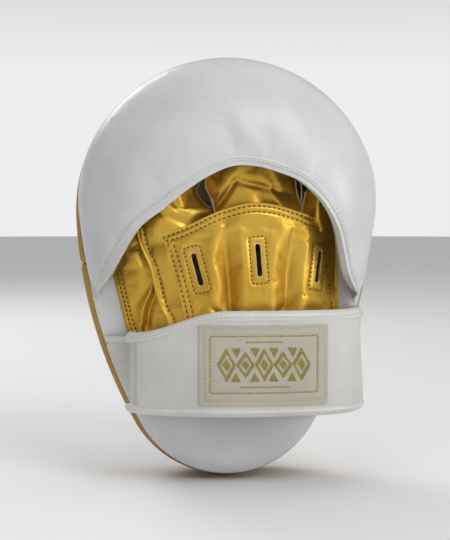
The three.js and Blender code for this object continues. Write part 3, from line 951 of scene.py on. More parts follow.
def build_heel():
    """The crowned cushion under the heel of the hand, rows from the side seam up to its straight top."""
    columns, rows = 170, 70
    first = outline_part(84.0)
    parts = np.linspace(-first, first, columns)[::-1]
    seam_inset = BACK_INSET + 0.2
    seam_x, seam_z = egg(turn_at(parts % 1.0), seam_inset)
    top = spline([(66, 90), (40, 97), (0, 99), (-40, 97), (-66, 90)], columns)
    v = np.linspace(0, 1, rows)[:, None]
    w = v**1.2
    x = seam_x[None] * (1 - w) + top[None, :, 0] * w
    z = seam_z[None] * (1 - w) + top[None, :, 1] * w
    depth = np.maximum(egg_depth(x, z) - seam_inset, 0)
    k = np.clip(depth / 30.0, 0, 1)
    lift = 10.0 * (1 - (1 - k) ** 2) ** 0.6 * (1 - 0.75 * smooth(z, 60, 98))
    under_strap = bump(z, 47, 7) * smooth(depth, 2, 12)
    lift = lift - under_strap + 0.35 * ripple(x, z, 4.0, 11.0) * smooth(depth, 2, 14)
    points = np.stack([x, 1.2 + lift, z], axis=2)
    free = smooth(depth, 1.0, 7) * smooth(v, 0.02, 0.1)
    points = settled(points, free, swell=1.0, grow=0.006, limit=2.0, bend=6.0)
    cover = grid("heel_leather", points, WHITE)
    thicken(cover, COVER_THICK)
    belongs(cover, "mitt", "heel_cover")
    padding = points - normals(points) * 1.6
    padding[..., 1] = np.maximum(padding[..., 1], 1.3)
    inner = grid("heel_padding", padding[4:-2, 6:-6], FOAM)
    thicken(inner, 0.8)
    belongs(inner, "mitt", "heel_foam")


# ---------------------------------------------------------------- glove


def arch(x):
    """Height of the glove's back over the pad."""
    half = np.where(x < GLOVE_RIDGE_X, 60.0, 84.0)
    power = np.where(x < GLOVE_RIDGE_X, 3.4, 2.2)
    return GLOVE_HEIGHT * (1 - np.abs((x - GLOVE_RIDGE_X) / half) ** power)


def patch(left, right, bottom, top, columns, rows):
    """(x, z) grid inside four border lines; left and right run up, bottom and top run left to right."""
    left, right = evenly(left, rows), evenly(right, rows)
    bottom, top = evenly(bottom, columns), evenly(top, columns)
    u = np.linspace(0, 1, columns)[None, :, None]
    v = np.linspace(0, 1, rows)[:, None, None]
    sides = left[:, None] * (1 - u) + right[:, None] * u
    ends = bottom[None] * (1 - v) + top[None] * v
    low_corners = left[0] * (1 - u) * (1 - v) + right[0] * u * (1 - v)
    return sides + ends - low_corners - left[-1] * (1 - u) * v - right[-1] * u * v


def between(left, right, columns, rows):
    """(x, z) grid between two lines that run up, straight across at its foot and its head."""
    foot, head = (evenly([left[end], right[end]], 20) for end in (0, -1))
    return patch(left, right, foot, head, columns, rows)


def raised(flat, height):
    """Points over an (x, z) grid at the given height over the pad."""
    return np.stack([flat[..., 0], height, flat[..., 1]], axis=2)


def rounded_box(x, z, wide, tall, tilt, corner=1.4, count=60):
    """A stitched rectangle with round corners, as a closed (x, z) line."""
    line = []
    reach_x, reach_z = wide / 2 - corner, tall / 2 - corner
    for sx, sz, start in ((1, 1, 0), (-1, 1, 90), (-1, -1, 180), (1, -1, 270)):
        for a in np.radians(np.linspace(start, start + 90, 5)):
            line.append((sx * reach_x + corner * math.cos(a), sz * reach_z + corner * math.sin(a)))
    line = np.array(line + line[:1])
    c, s = math.cos(tilt), math.sin(tilt)
    turned = np.stack([line[:, 0] * c - line[:, 1] * s, line[:, 0] * s + line[:, 1] * c], axis=1)
    return evenly(turned + [x, z], count)


# the four borders of the hand-back panel, as (x, z)
OVERLAY_LEFT = [(27, 92), (30.5, 110), (36, 132), (42.9, 155.3)]
OVERLAY_RIGHT = [(-68.5, 92), (-67, 111), (-63, 132), (-60, 147), (-58.7, 160.5)]
OVERLAY_TOP = [
    (42.9, 155.3), (26.4, 161.5), (13.6, 167.6), (3, 171.6), (-9, 174.4), (-22.4, 173.8), (-38, 169.8),
    (-52, 165), (-58.7, 160.5),
]
OVERLAY_BOTTOM = [(27, 92), (-20, 92), (-68.5, 92)]
# creases where the panel sinks between the vents: x at mid height, lean, where each flank ends, depth
CREASES = [(3.3, 0.078, 15.0, -5.0, 6.4), (-34.0, -0.10, -21.0, -43.5, 6.4)]
CREASE_LINE_Z = 135
# small tucks where the panel is drawn in under the strap
TUCKS = [(1.3, 8, 0.9, 3.0, 106, 9), (1.1, -27, -0.8, 3.0, 106, 9)]


def overlay_height(x, z):
    """The hand-back panel: flat where it is stitched round the vents, sinking to a crease between."""
    sink = np.zeros_like(x)
    for centre, lean, left, right, depth in CREASES:
        away = x - centre - lean * (z - CREASE_LINE_Z)
        flank = np.where(away > 0, left - centre, centre - right)
        t = np.clip(1 - (np.sqrt(away**2 + 1.0) - 1.0) / flank, 0, 1)
        sink = sink + depth * (t**1.5) * (0.22 + 0.78 * smooth(171 - z, 4, 38))
    swell = (
        1.5 * bump(x, 12.5, 4.5) + 1.2 * bump(x, -24.5, 4.5) + 0.9 * bump(x, -4.5, 3.5)
        + 1.0 * bump(x + 0.12 * (z - 130), 31.5, 4.0) * bump(z, 128, 24)
    ) * smooth(168 - z, 0, 24)
    return arch(x) + 2.4 - sink + swell - folds(x, z, TUCKS) + 0.22 * ripple(x, z, 6.0, 6.5)


def near_lines(points, lines, reach):
    """1 along the lines, falling to 0 at reach from them."""
    flat = points.reshape(-1, 3)[:, [0, 2]]
    nearest = np.full(len(flat), 1e9)
    for line in lines:
        line = evenly(line, max(8, int(length(line) / 1.5)))[:, :2]
        nearest = np.minimum(nearest, np.linalg.norm(flat[:, None] - line[None], axis=2).min(1))
    return (1 - smooth(nearest, 0.4 * reach, reach)).reshape(points.shape[:2])


def cut_vent(piece, x, z, tilt):
    """Cuts one slot through a sheet: the leather is slit along the slot's four sides and lifted out."""
    middle = framed([x, 0, z])
    across = np.array([math.cos(tilt), 0, math.sin(tilt)])
    up = np.array([-math.sin(tilt), 0, math.cos(tilt)])
    wide, tall = VENT_WIDTH / 2 * MM, VENT_LENGTH / 2 * MM

    def pick(margin):
        only(piece)
        bpy.ops.object.mode_set(mode="OBJECT")
        for face in piece.data.polygons:
            away = np.array(face.center) - middle
            face.select = bool(abs(away @ across) < wide + margin and abs(away @ up) < tall + margin)
        bpy.ops.object.mode_set(mode="EDIT")

    with editing(piece, "DESELECT", "FACE"):
        for direction, reach in ((across, wide), (-across, wide), (up, tall), (-up, tall)):
            pick(1.2 * MM)
            bpy.ops.mesh.bisect(plane_co=tuple(middle + direction * reach), plane_no=tuple(direction))
        pick(0.0)
        bpy.ops.mesh.delete(type="FACE")


def build_overlay():
    """The hand-back panel with its three vents, its lining and its double rows of stitches."""
    borders = (OVERLAY_LEFT, 60), (OVERLAY_RIGHT, 60), (OVERLAY_BOTTOM, 60), (OVERLAY_TOP, 90)
    flat = patch(*(spline(line, count) for line, count in borders), columns=150, rows=110)
    points = raised(flat, overlay_height(flat[..., 0], flat[..., 1]))
    top = spline(OVERLAY_TOP, 120)
    left = spline(OVERLAY_LEFT, 80)
    right = spline(OVERLAY_RIGHT, 80)
    outer_rows = [top - [0, 1.9], (left - [1.9, 0])[:-3], (right + [2.0, 0])[:-4]]
    inner_rows = [(top - [0, 5.3])[6:-5], (left - [5.3, 0])[:-7]]
    seams = outer_rows + inner_rows
    frames = [rounded_box(x, z, *VENT_FRAME, tilt) for x, z, tilt in VENTS]
    held = np.maximum(near_lines(points, [*seams, *frames], 4.5), smooth(104 - flat[..., 1], 0, 8))
    points = settled(points, 1 - held, swell=0.3, grow=0.007, limit=1.4, bend=5.0)
    points = pressed(points, seams + frames, 0.7, 1.0)
    panel = grid("hand_back_leather", points, GOLD)
    inside = (slice(2, -2), slice(2, -2))
    lining = grid("hand_back_inner", points[inside] - normals(points)[inside] * 1.9, LINING)
    for piece, thick, rounding in ((panel, GLOVE_THICK, ROUNDING), (lining, 0.8, 0.0)):
        for vent in VENTS:
            cut_vent(piece, *vent)
        thicken(piece, thick, rounding)
    belongs(panel, "mitt", "hand_back_panel")
    belongs(lining, "mitt", "hand_back_lining")

    edges = []
    for k, (x, z, tilt) in enumerate(VENTS):
        ring = rounded_box(x, z, VENT_WIDTH + 0.5, VENT_LENGTH + 0.5, tilt, 0.5 * VENT_WIDTH, 90)
        line, out = draped(ring, points)
        edges.append(tube(f"vent_edge_{k}", line - out * 0.4, 0.42, CUT_EDGE, 2))
    rims = joined("vent_cut_edges", edges)
    belongs(rims, "mitt")

    runs = [draped(k, points, 0.1) for k in seams]
    seam = sewn("hand_back_stitches", runs, DARK_THREAD, pitch=3.1, long=2.2, thick=0.42)
    belongs(seam, "mitt")
    runs = [draped(k, points, 0.1) for k in frames]
    seam = sewn("vent_stitches", runs, DARK_THREAD, pitch=2.6, long=1.8, thick=0.36)
    belongs(seam, "mitt")


# the rolled seam between thumb and index finger, from the top, and the edge of the thumb sewn to the pad
RIDGE = [
    (63, 176), (57.3, 158), (54.4, 147.4), (49.6, 136.7), (46.4, 124), (42.9, 111.5), (39.5, 104.8), (36, 92),
]
THUMB_EDGE = [(61.5, 90), (64.2, 98), (68.5, 115), (72.8, 132.5), (77, 148), (80, 162)]


def tip_over(z, start, end):
    """Rounds a finger stall down to the palm at its tip."""
    return np.sqrt(np.clip(1 - ((z - start) / (end - start)).clip(0, 1) ** 2, 0.02, 1))


def stall(name, points, node):
    """A stall's leather, with its thickness and its cut edges rounded over."""
    piece = grid(name, points, GOLD)
    thicken(piece, GLOVE_THICK, ROUNDING)
    belongs(piece, "mitt", node)


def across(u, start, end):
    """1 in the middle of a stall, falling to 0 towards its two long sides."""
    return np.minimum(smooth(u, 0.02, start), smooth(1 - u, 0.02, end))


INDEX_SLIT = [
    (25, 92), (30.5, 128), (30.5, 148), (20, 160), (10.2, 169.5), (14.6, 173), (20.6, 180.5), (18.4, 188),
    (15, 198), (17, 210),
]
INDEX_CREASES = [(1.8, 36.3, 0.55, 3.0, 176, 12), (1.3, 26.5, -0.25, 2.2, 180, 9), (-2.2, 43, 0.0, 7, 163, 9)]


def build_index():
    """From the rolled seam beside the thumb across to the slit beside the middle finger."""
    left = spline([*RIDGE[:1:-1], (57, 158), (57, 172), (52, 192), (43, 210)], 120)
    flat = between(left, spline(INDEX_SLIT, 120), 64, 120)
    x, z = flat[..., 0], flat[..., 1]
    u = np.linspace(0, 1, 64)[None]
    hand = arch(x) + 0.9 + 1.6 * (1 - smooth(u, 0.0, 0.22))
    lobe = np.sin(math.pi * (0.12 + 0.88 * u)) ** 0.6
    finger = 8.0 + 19.5 * lobe + 2.0 * bump(u, 0.30, 0.2)
    over = smooth(z, 148, 176)
    y = (hand * (1 - over) + finger * over) * tip_over(z, 194, 212)
    root = 1.4 * bump(z - 0.42 * x, 150, 2.6) * smooth(x, 26, 34) * smooth(54 - x, 0, 5)
    points = raised(flat, y - folds(x, z, INDEX_CREASES) - root + 0.3 * ripple(x, z, 9.0, 5.5))
    free = across(u, 0.14, 0.14) * smooth(z, 104, 116) * smooth(208 - z, 0, 10)
    points = settled(points, free, swell=0.5, grow=0.010, limit=1.6, bend=4.0)
    seam = np.stack([left[:, 0] - 3.3, left[:, 1]], axis=1)[8:74]
    points = pressed(points, [seam], 0.6, 1.0)
    stall("index_leather", points, "index_stall")
    runs = [draped(seam, points, 0.1)]
    stitches = sewn("thumb_seam_stitches", runs, DARK_THREAD, pitch=2.9, long=2.1, thick=0.4)
    belongs(stitches, "mitt")
    edge = points[4:92, 0] - [0, 0.75, 0]
    roll = tube("thumb_seam_roll", edge + [0.3, 0, 0], 1.15, GOLD, 4)
    belongs(roll, "mitt")
    pale_lips("index_slit_edge", points[74:106, -1], points[74:106, -4])


def pale_lips(name, edge, inside):
    """The cream cut edge of the leather, seen where a stall opens beside its neighbour."""
    line = evenly(edge + (edge - inside) * 0.06 - [0, 0.7, 0], 60)
    lip = tube(name, line, 0.72, CUT_EDGE, 3)
    belongs(lip, "mitt")


MIDDLE_SLIT = [(8, 158), (9.6, 170), (12.8, 179.3), (15.0, 185.7), (13.5, 196), (8, 210), (3, 220)]
RING_SLIT = [(-41, 158), (-43.6, 170), (-41.6, 178), (-40.4, 184), (-39, 196), (-35, 208), (-30, 218)]
MIDDLE_CREASES = [(2.2, 2.0, -0.62, 2.2, 182, 8), (1.3, -26.1, 0.45, 2.6, 184, 9)]


def build_middle():
    """The wide stall of the middle and ring fingers."""
    flat = between(spline(MIDDLE_SLIT, 90), spline(RING_SLIT, 90), 90, 90)
    x, z = flat[..., 0], flat[..., 1]
    u = np.linspace(0, 1, 90)[None]
    lobe = np.sin(math.pi * (0.04 + 0.92 * u)) ** 0.5 - 0.14 * bump(u, 0.55, 0.1)
    y = (8.5 + 20.5 * lobe) * tip_over(z, 200, 221)
    knuckle = 1.5 * bump(z - 0.22 * x, 188, 2.4) * bump(x, -16, 16)
    points = raised(flat, y - folds(x, z, MIDDLE_CREASES) - knuckle + 0.4 * ripple(x, z, 7.0, 4.6))
    free = across(u, 0.12, 0.12) * smooth(z, 162, 172) * smooth(214 - z, 0, 10)
    points = settled(points, free, swell=0.5, grow=0.014, limit=1.8, bend=4.0)
    stall("middle_ring_leather", points, "middle_ring_stall")
    pale_lips("middle_slit_edge", points[14:48, 0], points[14:48, 3])
    pale_lips("ring_slit_edge", points[14:48, -1], points[14:48, -4])


LITTLE_SLIT = [
    (-64, 92), (-62.5, 120), (-60.5, 146), (-52, 157), (-46, 164), (-45, 171), (-46.5, 180), (-48.5, 190),
    (-51, 200),
]
LITTLE_SIDE = [(-70.5, 92), (-70, 120), (-68.5, 150), (-67, 172), (-65, 188), (-61, 200)]


def build_little():
    """The little finger's stall, whose outer side runs down to the pad as a wall."""
    flat = between(spline(LITTLE_SLIT, 110), spline(LITTLE_SIDE, 110), 56, 110)
    x, z = flat[..., 0], flat[..., 1]
    u = np.linspace(0, 1, 56)[None]
    wall = np.clip(1 - u**5, 0, 1)
    foot = 1.4 * (1 - wall)
    hand = np.minimum(arch(x) + 1.1, 25) * wall + foot
    lobe = 16.0 * np.sin(math.pi * (0.12 + 0.8 * u)) ** 0.7 + 2.4 * bump(u, 0.33, 0.12)
    finger = (9 + lobe) * wall + foot
    over = smooth(z, 150, 172)
    y = (hand * (1 - over) + finger * over) * tip_over(z, 184, 201)
    points = raised(flat, np.maximum(y, 1.3) + 0.3 * ripple(x, z, 5.0, 5.0))
    free = across(u, 0.15, 0.2) * smooth(z, 106, 118) * smooth(198 - z, 0, 8)
    points = settled(points, free, swell=0.4, grow=0.008, limit=1.4, bend=4.0)
    stall("little_leather", points, "little_stall")
    pale_lips("little_slit_edge", points[70:92, 0], points[70:92, 3])


def build_thumb():
    """A lobe of leather between the edge sewn to the pad and the rolled seam, with folds at its root."""
    outer = spline(THUMB_EDGE, 90)
    flat = between(outer, spline(RIDGE, 90)[::-1], 90, 120)
    x, z = flat[..., 0], flat[..., 1]
    u = np.linspace(0, 1, 90)[None]
    top = (arch(x[:, -1:]) - 2.6) * tip_over(z[:, -1:], 150, 200)
    y = 1.6 + (top - 1.6) * u**0.8 + 4.2 * np.sin(math.pi * u**0.9) * (0.55 + 0.45 * bump(z, 138, 26))
    along = smooth(z, 94, 100) * smooth(128 - z, 0, 16)
    fold_x = 54.8 - 0.012 * (z - 104).clip(0, 30) ** 2 + 0.10 * (104 - z)
    fold = (
        2.6 * bump(x - fold_x, 0, 1.9) - 2.6 * bump(x - fold_x, -4.4, 2.0) - 1.5 * bump(x - fold_x, 4.8, 2.6)
    ) * along + 1.3 * bump(x - 0.7 * (z - 140), 61, 3.2) * bump(z, 143, 10)
    fold = fold * smooth(u, 0.05, 0.25) * smooth(1 - u, 0.0, 0.10)
    points = raised(flat, y + fold + 0.3 * ripple(x, z, 3.5, 5.5) * np.sin(math.pi * u))
    rows = [outer - [2.7, 0], outer - [4.9, 0]]
    held = np.maximum(near_lines(points, rows, 4.0), 1 - smooth(1 - u, 0.0, 0.12))
    free = (1 - held) * smooth(z, 96, 102) * smooth(160 - z, 0, 12)
    points = settled(points, free, swell=0.4, grow=0.008, limit=1.4, bend=4.0)
    points = pressed(points, rows, 0.6, 0.9)
    stall("thumb_leather", points, "thumb_stall")
    runs = [draped(k, points, 0.1) for k in rows]
    seam = sewn("thumb_edge_stitches", runs, DARK_THREAD, pitch=2.9, long=2.0, thick=0.4)
    belongs(seam, "mitt")


def build_palm():
    """The sheet of lining that the palm rests on."""
    left = spline([(60, 93), (64, 128), (52, 200), (20, 222)], 60)
    right = spline([(-64, 93), (-66, 150), (-52, 200), (-20, 222)], 60)
    flat = between(left, right, 60, 70)
    palm = grid("palm_cloth", raised(flat, 1.6 + 0.15 * ripple(flat[..., 0], flat[..., 1], 2.2, 8.0)), LINING)
    thicken(palm, 0.5)
    belongs(palm, "mitt", "palm_lining")


def build_grip():
    """The cushion that the fingers close on: a dome on a flat base."""
    low, high = ((np.array(corner) - [0, BACK_Y, TIP_Z_WORLD]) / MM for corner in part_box("grip_ball"))
    middle, half = (low + high) / 2, (high - low) / 2
    turn = np.linspace(0, 2 * math.pi, 73)
    rows = []
    for k in np.linspace(0, 1, 18):
        lift = math.sin(k * math.pi / 2) ** 0.8
        reach = math.cos(k * math.pi / 2) ** 0.9 if k < 1 else 0.02
        rows.append(np.stack([
            middle[0] - half[0] * reach * np.cos(turn),
            np.full_like(turn, low[1] + 2 * half[1] * lift),
            middle[2] + half[2] * reach * np.sin(turn),
        ], axis=1))
    ball = grid("grip_cushion", np.array(rows), GOLD, weld=True)
    close_ends(ball)
    belongs(ball, "mitt", "grip_ball")


def build_stall_strips():
    """The pale strips of leather that stand between the stalls."""
    along = np.linspace(0, 1, 40)[None]
    rise = np.linspace(1, 0, 14)[:, None]
    for node, low, high, tall in (
        ("stall_gusset_index", (9.4, 166), (14.2, 196), 15),
        ("stall_gusset_little", (-44.4, 164), (-43.0, 190), 14),
    ):
        deep = tall * (1 - 0.45 * along**3)
        points = np.stack([
            low[0] + (high[0] - low[0]) * along + 0.7 * np.sin(along * 6) + 0 * rise,
            rise * deep + 2.3,
            low[1] + (high[1] - low[1]) * along + 0 * rise,
        ], axis=2)
        strip = grid(node + "_strip", points, CUT_EDGE)
        thicken(strip, 0.9, 0.2)
        belongs(strip, "mitt", node)


# ---------------------------------------------------------------- wrist strap


def strap_line(z):
    """Middle line of the strap at a height: out of the side seam, round the fold and across the hand."""
    root = -(float(half_width(np.array(z))) - 5.5)
    return spline([(root, 3.4), ((root - 79) / 2 - 1, 8.5), (-79.5, 14), *STRAP_PATH], STRAP_COLUMNS)


def strap_surface(offset, fractions):
    """The strap's middle surface pushed outwards by offset, a number or a function of (fraction, line).

    Rows are at fractions of the height (1 at the top), columns run from the root to the free end.
    """
    low, high = strap_line(STRAP_LOW), strap_line(STRAP_HIGH)
    past = smooth(np.arange(STRAP_COLUMNS) / STRAP_COLUMNS, 0.62, 0.97)
    top = STRAP_HIGH - STRAP_DROP * past
    rows = []
    for f in fractions:
        line = low * (1 - f) + high * f
        along = np.gradient(line, axis=0)
        along /= np.linalg.norm(along, axis=1, keepdims=True)
        left = np.stack([-along[:, 1], along[:, 0]], axis=1)
        push = offset(f, line) if callable(offset) else offset
        at = line + left * np.asarray(push).reshape(-1, 1)
        z = STRAP_LOW + (top - STRAP_LOW) * f
        rows.append(np.stack([at[:, 0], at[:, 1], z], axis=1))
    return np.array(rows)


def on_both(piece, slot, *nodes):
    """A strap piece, from the root on the mitt to the flap: its placing is baked into its mesh and the parts it
    stands for are hidden.
    """
    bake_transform(piece)
    if nodes:
        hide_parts(*nodes)


def build_strap():
    """The padded strap: cover, padding, lining, its two bound edges and its rows of stitches."""
    def outer(fraction, line):
        edge = min(fraction, 1 - fraction)
        crown = 3.0 + 1.1 * (1 - math.exp(-edge / 0.10)) - 1.6 * math.exp(-((edge / 0.035) ** 2))
        s = np.arange(len(line)) / len(line)
        end = 1.6 * smooth(s, 0.95, 0.985) + 6.2 * smooth(s, 0.982, 0.997) ** 2
        wave = 0.32 * ripple(line[:, 0], np.full(len(line), fraction * 64), 4.4, 9.0)
        root = 0.5 * bump(s, 0.10, 0.02)
        return np.maximum(crown - end, -3.6) + wave - root

    points = strap_surface(outer, np.linspace(1, 0, 72))
    end_column = int(STRAP_COLUMNS * STRAP_END_SEAM)
    end_line = points[3:-3, end_column]
    points = pressed(points, [end_line], 0.7, 1.3)
    cover = grid("strap_leather", points, STRAP_WHITE)
    thicken(cover, WALL_THICK, ROUNDING)
    on_both(cover, "white_leather", "strap_cover", "strap_anchor")

    padding = grid("strap_padding", strap_surface(1.6, np.linspace(0.93, 0.07, 30))[:, 14:-16], FOAM)
    thicken(padding, 3.6, 0.5)
    on_both(padding, "foam", "strap_foam")

    def inner(fraction, line):
        edge = min(fraction, 1 - fraction)
        return np.full(len(line), -2.2 - 0.7 * (1 - math.exp(-edge / 0.08)))

    lining = strap_surface(inner, np.linspace(0.985, 0.015, 40))[:, :-2]
    lining = grid("strap_inner_lining", lining, STRAP_WHITE)
    thicken(lining, 1.0, 0.2)
    on_both(lining, "lining", "strap_lining")

    def edge_piece(name, f_edge, inward_z, node, width, proud):
        outer_edge = strap_surface(2.6, [f_edge])[0]
        inner_edge = strap_surface(2.6 - STRAP_THICK + 1.4, [f_edge])[0]
        out = outer_edge - inner_edge
        out /= np.linalg.norm(out, axis=1, keepdims=True)
        inward = np.tile([0.0, 0.0, inward_z], (len(out), 1))
        profile = round_binding(width, STRAP_THICK - 1.4, proud)
        piece = bound_edge(name, outer_edge, out, inward, profile, BINDING)
        on_both(piece, "white_binding", node)
        return outer_edge, out, inward

    edge, out, inward = edge_piece("strap_top_edge", 1.0, -1.0, "strap_top_binding", 6.8, 0.9)
    runs = [(edge + inward * k + out * 0.95, out) for k in (3.6, 5.9)]
    edge, out, inward = edge_piece("strap_bottom_edge", 0.0, 1.0, "strap_bottom_binding", 6.0, 1.5)
    runs.append((edge + inward * 5.0 + out * 1.4, out))
    runs = [(line[4:-3], out[4:-3]) for line, out in runs]
    runs.append((end_line, np.tile(normals(points)[36, end_column], (len(end_line), 1))))
    seam = sewn("strap_stitches", runs, WHITE_THREAD, pitch=2.8, long=2.0, thick=0.3)
    on_both(seam, "white_binding")

    build_label(points)


LABEL_BORDERS = (22.0, -56.0, 53.5, 101.5)
MOTIF_PITCH = 11.3
MOTIF_HALF = 5.7
NOTCH_HALF = 3.0
NOTCH_TOP = 10.2


def build_label(cover):
    """A stitched patch with a gold border and a plain geometric ornament in satin stitch."""
    left, right, low, high = LABEL_BORDERS
    middle_x, middle_z = (left + right) / 2, (low + high) / 2
    flat = np.stack(np.meshgrid(np.linspace(left, right, 90), np.linspace(low, high, 60)), axis=2)
    on_cover, out = draped(flat.reshape(-1, 2), cover)
    points = (on_cover + out * 0.9).reshape(*flat.shape[:2], 3)
    border = rounded_box(middle_x, middle_z, 73.4, 43.6, 0.0, 1.2, 160)
    rule = rounded_box(middle_x, middle_z + 0.6, 65.0, 34.0, 0.0, 0.8, 160)
    points = pressed(points, [border, rule], 0.5, 0.9)
    label = grid("label_patch", points, LABEL)
    thicken(label, 0.9, 0.25)
    belongs(label, "strap", "strap_label")
    seam = sewn("label_stitches", [draped(border, points, 0.08)], LABEL_THREAD, pitch=2.6, long=1.7, thick=0.36)
    belongs(seam, "strap")
    runs = [draped(rule, points, 0.1)]
    seam = sewn("label_rule_stitches", runs, GOLD_THREAD, pitch=2.2, long=1.9, thick=0.42)
    belongs(seam, "strap")
    build_ornament(points, middle_x, middle_z + 0.6)


def build_ornament(label, middle_x, middle_z):
    """Five lozenges in satin stitch, each a border round a small solid one, with small notches between."""
    bars = []

    def satin(low_of, high_of, middle, reach, lean=0.3, step=0.62):
        for at in np.arange(middle - reach + step / 2, middle + reach, step):
            foot, head = low_of(at), high_of(at)
            if head - foot > 0.7:
                bars.append(((at - lean, foot), (at + lean, head)))

    for k in range(-2, 3):
        tall = 10.4 if k % 2 == 0 else 8.2
        centre = k * MOTIF_PITCH

        def edge(q, size=1.0, centre=centre, tall=tall):
            return tall * size * max(0.0, 1 - abs(q - centre) / (MOTIF_HALF * size))

        def hollow(q, edge=edge, tall=tall):
            return max(0.0, edge(q) - 0.36 * tall)

        satin(hollow, edge, centre, MOTIF_HALF)
        satin(lambda q, edge=edge: -edge(q), lambda q, hollow=hollow: -hollow(q), centre, MOTIF_HALF)
        satin(
            lambda q, edge=edge: -edge(q, 0.42), lambda q, edge=edge: edge(q, 0.42), centre, MOTIF_HALF,
        )
    for k in (-1.5, -0.5, 0.5, 1.5):
        notch = k * MOTIF_PITCH

        def point(q, notch=notch):
            return NOTCH_TOP - 2.1 * max(0, NOTCH_HALF - abs(q - notch))

        satin(point, lambda q: NOTCH_TOP, notch, NOTCH_HALF)
        satin(lambda q: -NOTCH_TOP, lambda q, point=point: -point(q), notch, NOTCH_HALF)
    for height, reach in ((13.6, 11.0), (-13.4, 15.0)):
        for at in np.arange(-reach, reach, 1.5):
            bars.append(((at, height - 0.5), (at + 0.9, height + 0.5)))
    bars = np.array(bars) + [middle_x, middle_z]
    foot, out = draped(bars[:, 0], label, 0.15)
    head, _ = draped(bars[:, 1], label, 0.15)
    long = np.linalg.norm(head - foot, axis=1) + 0.3
    motif = threads("label_ornament", (foot + head) / 2, head - foot, out, long, 0.34, GOLD_THREAD)
    belongs(motif, "strap")


TAB_LOW, TAB_HIGH = 49.0, 92.0


def build_tab():
    """The tab on the thumb side that the free end fastens to."""
    columns = 60
    base = strap_surface(-8.8, [0.5])[0]
    under = base[int(len(base) * 0.80) :: 6][:, :2]
    rows = []
    for z in np.linspace(TAB_HIGH, TAB_LOW, 30):
        root = (float(half_width(np.array(z))) - 4.6, 1.9)
        line = spline([*under[under[:, 0] < 57], root], columns)
        rows.append(np.hstack([line, np.full((columns, 1), z)]))
    points = np.array(rows)
    lift = 0.9 + 0.2 * ripple(points[..., 0], points[..., 2], 2.7, 7.0)
    points = points + normals(points) * lift[..., None]
    edges = [points[3], points[-4]]
    tab = grid("thumb_side_tab", pressed(points, edges, 0.4, 1.0), STRAP_WHITE)
    thicken(tab, 1.8, 0.5)
    belongs(tab, "mitt", "base_tab")
    n = normals(points)
    runs = [(points[3], n[3]), (points[-4], n[-4])]
    seam = sewn("tab_stitches", runs, WHITE_THREAD, pitch=2.8, long=2.0, thick=0.3)
    belongs(seam, "mitt")


def build_tapes():
    """The hook tape under the strap's free end and the loop tape on the tab."""
    for name, offset, material, node, body, slot in (
        ("hook_tape_strip", -4.4, HOOK, "strap_hook_tape", "strap", "hook_tape"),
        ("loop_tape_strip", -6.0, LOOP, "base_loop_tape", "mitt", "loop_tape"),
    ):
        line = strap_surface(offset, np.linspace(0.80, 0.08, 60))
        part = line[:, int(line.shape[1] * 0.83) : int(line.shape[1] * 0.975)]
        pile = 0.16 * np.sin(part[..., 0] * 2.6) * np.sin(part[..., 2] * 2.6)
        part = part + normals(part) * pile[..., None]
        tape = grid(name, part, material)
        thicken(tape, 0.9, 0.2)
        belongs(tape, body, node)


# ---------------------------------------------------------------- studio


def look_at(thing, target):
    direction = np.array(target) - np.array(thing.location)
    thing.rotation_euler = (
        math.atan2(math.hypot(direction[0], direction[1]), -direction[2]),
        0,
        math.atan2(direction[1], direction[0]) - math.pi / 2,
    )


def seen_from(azimuth, elevation, distance):
    """Offset of a place seen from the mitt at a compass angle (0 is in front of the face) and a height."""
    a, e = math.radians(azimuth), math.radians(elevation)
    return np.array([math.sin(a) * math.cos(e), -math.cos(a) * math.cos(e), math.sin(e)]) * distance


def area_light(name, azimuth, elevation, distance, size, power):
    light = bpy.data.lights.new(name, "AREA")
    light.shape = "DISK"
    light.size = size
    light.energy = power
    thing = bpy.data.objects.new(name, light)
    bpy.context.collection.objects.link(thing)
    thing.location = seen_from(azimuth, elevation, distance)
    look_at(thing, (0, 0, 0.02))


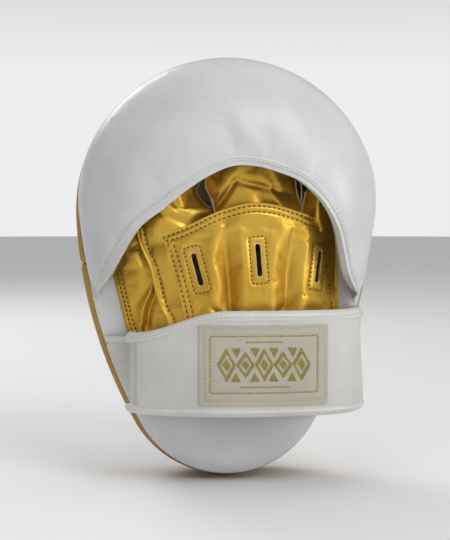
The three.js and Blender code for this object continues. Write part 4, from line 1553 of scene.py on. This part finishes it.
def build_studio():
    low = CAD_BOUNDS[0][2]
    deselect()
    bpy.ops.mesh.primitive_circle_add(vertices=96, radius=6.0, fill_type="NGON", location=(0, 0, low - 0.0005))
    floor = bpy.context.object
    floor.name = "studio_floor"
    material, _, shader, _ = finish("studio_paper")
    shader.inputs["Base Color"].default_value = (0.86, 0.86, 0.86, 1)
    shader.inputs["Roughness"].default_value = 0.8
    floor.data.materials.append(material)

    world = bpy.data.worlds.new("studio")
    world.use_nodes = True
    bpy.context.scene.world = world
    tree = world.node_tree
    split = tree.nodes.new("ShaderNodeSeparateXYZ")
    tree.links.new(tree.nodes.new("ShaderNodeTexCoord").outputs["Generated"], split.inputs["Vector"])
    height, ahead = split.outputs["Z"], math_node(tree, "ABSOLUTE", split.outputs["Y"])
    low = remap(tree, height, 0.10, 0.36, 1.0, 0.0)
    open_end = remap(tree, ahead, 0.55, 0.92, 0.38, 0.86)
    overhead = remap(tree, height, 0.75, 1.0, 0.26, 1.2)
    bright = mixed(tree, low, (0, 0, 0, 1), (1, 1, 1, 1))
    level = math_node(
        tree, "ADD", math_node(tree, "MULTIPLY", bright, open_end),
        math_node(tree, "MULTIPLY", math_node(tree, "SUBTRACT", 1.0, bright), overhead),
    )
    tree.links.new(level, tree.nodes["Background"].inputs["Strength"])
    tree.nodes["Background"].inputs["Color"].default_value = (0.99, 0.995, 1, 1)

    area_light("key_softbox", 210, 40, 1.6, 0.8, 8)
    area_light("fill_softbox", 150, 45, 1.8, 1.0, 2)
    area_light("strip_softbox", 240, 10, 1.5, 0.4, 4)
    area_light("front_softbox", 30, 38, 1.7, 0.9, 9)

    camera = bpy.data.cameras.new("camera")
    camera.lens = 85
    camera.sensor_fit = "VERTICAL"
    camera.sensor_height = 36
    thing = bpy.data.objects.new("camera", camera)
    bpy.context.collection.objects.link(thing)
    target = np.array([0.002, 0.0, (CAD_BOUNDS[0][2] + CAD_BOUNDS[1][2]) / 2])
    thing.location = target + seen_from(174, 3, 0.80)
    look_at(thing, target)
    bpy.context.scene.camera = thing
    bpy.context.scene.view_settings.view_transform = "Standard"


build_studio()
build_face()
build_wall()
build_back()
build_core()
build_hood()
build_heel()
build_overlay()
build_index()
build_middle()
build_little()
build_thumb()
build_palm()
build_grip()
build_stall_strips()
build_strap()
build_tab()
build_tapes()
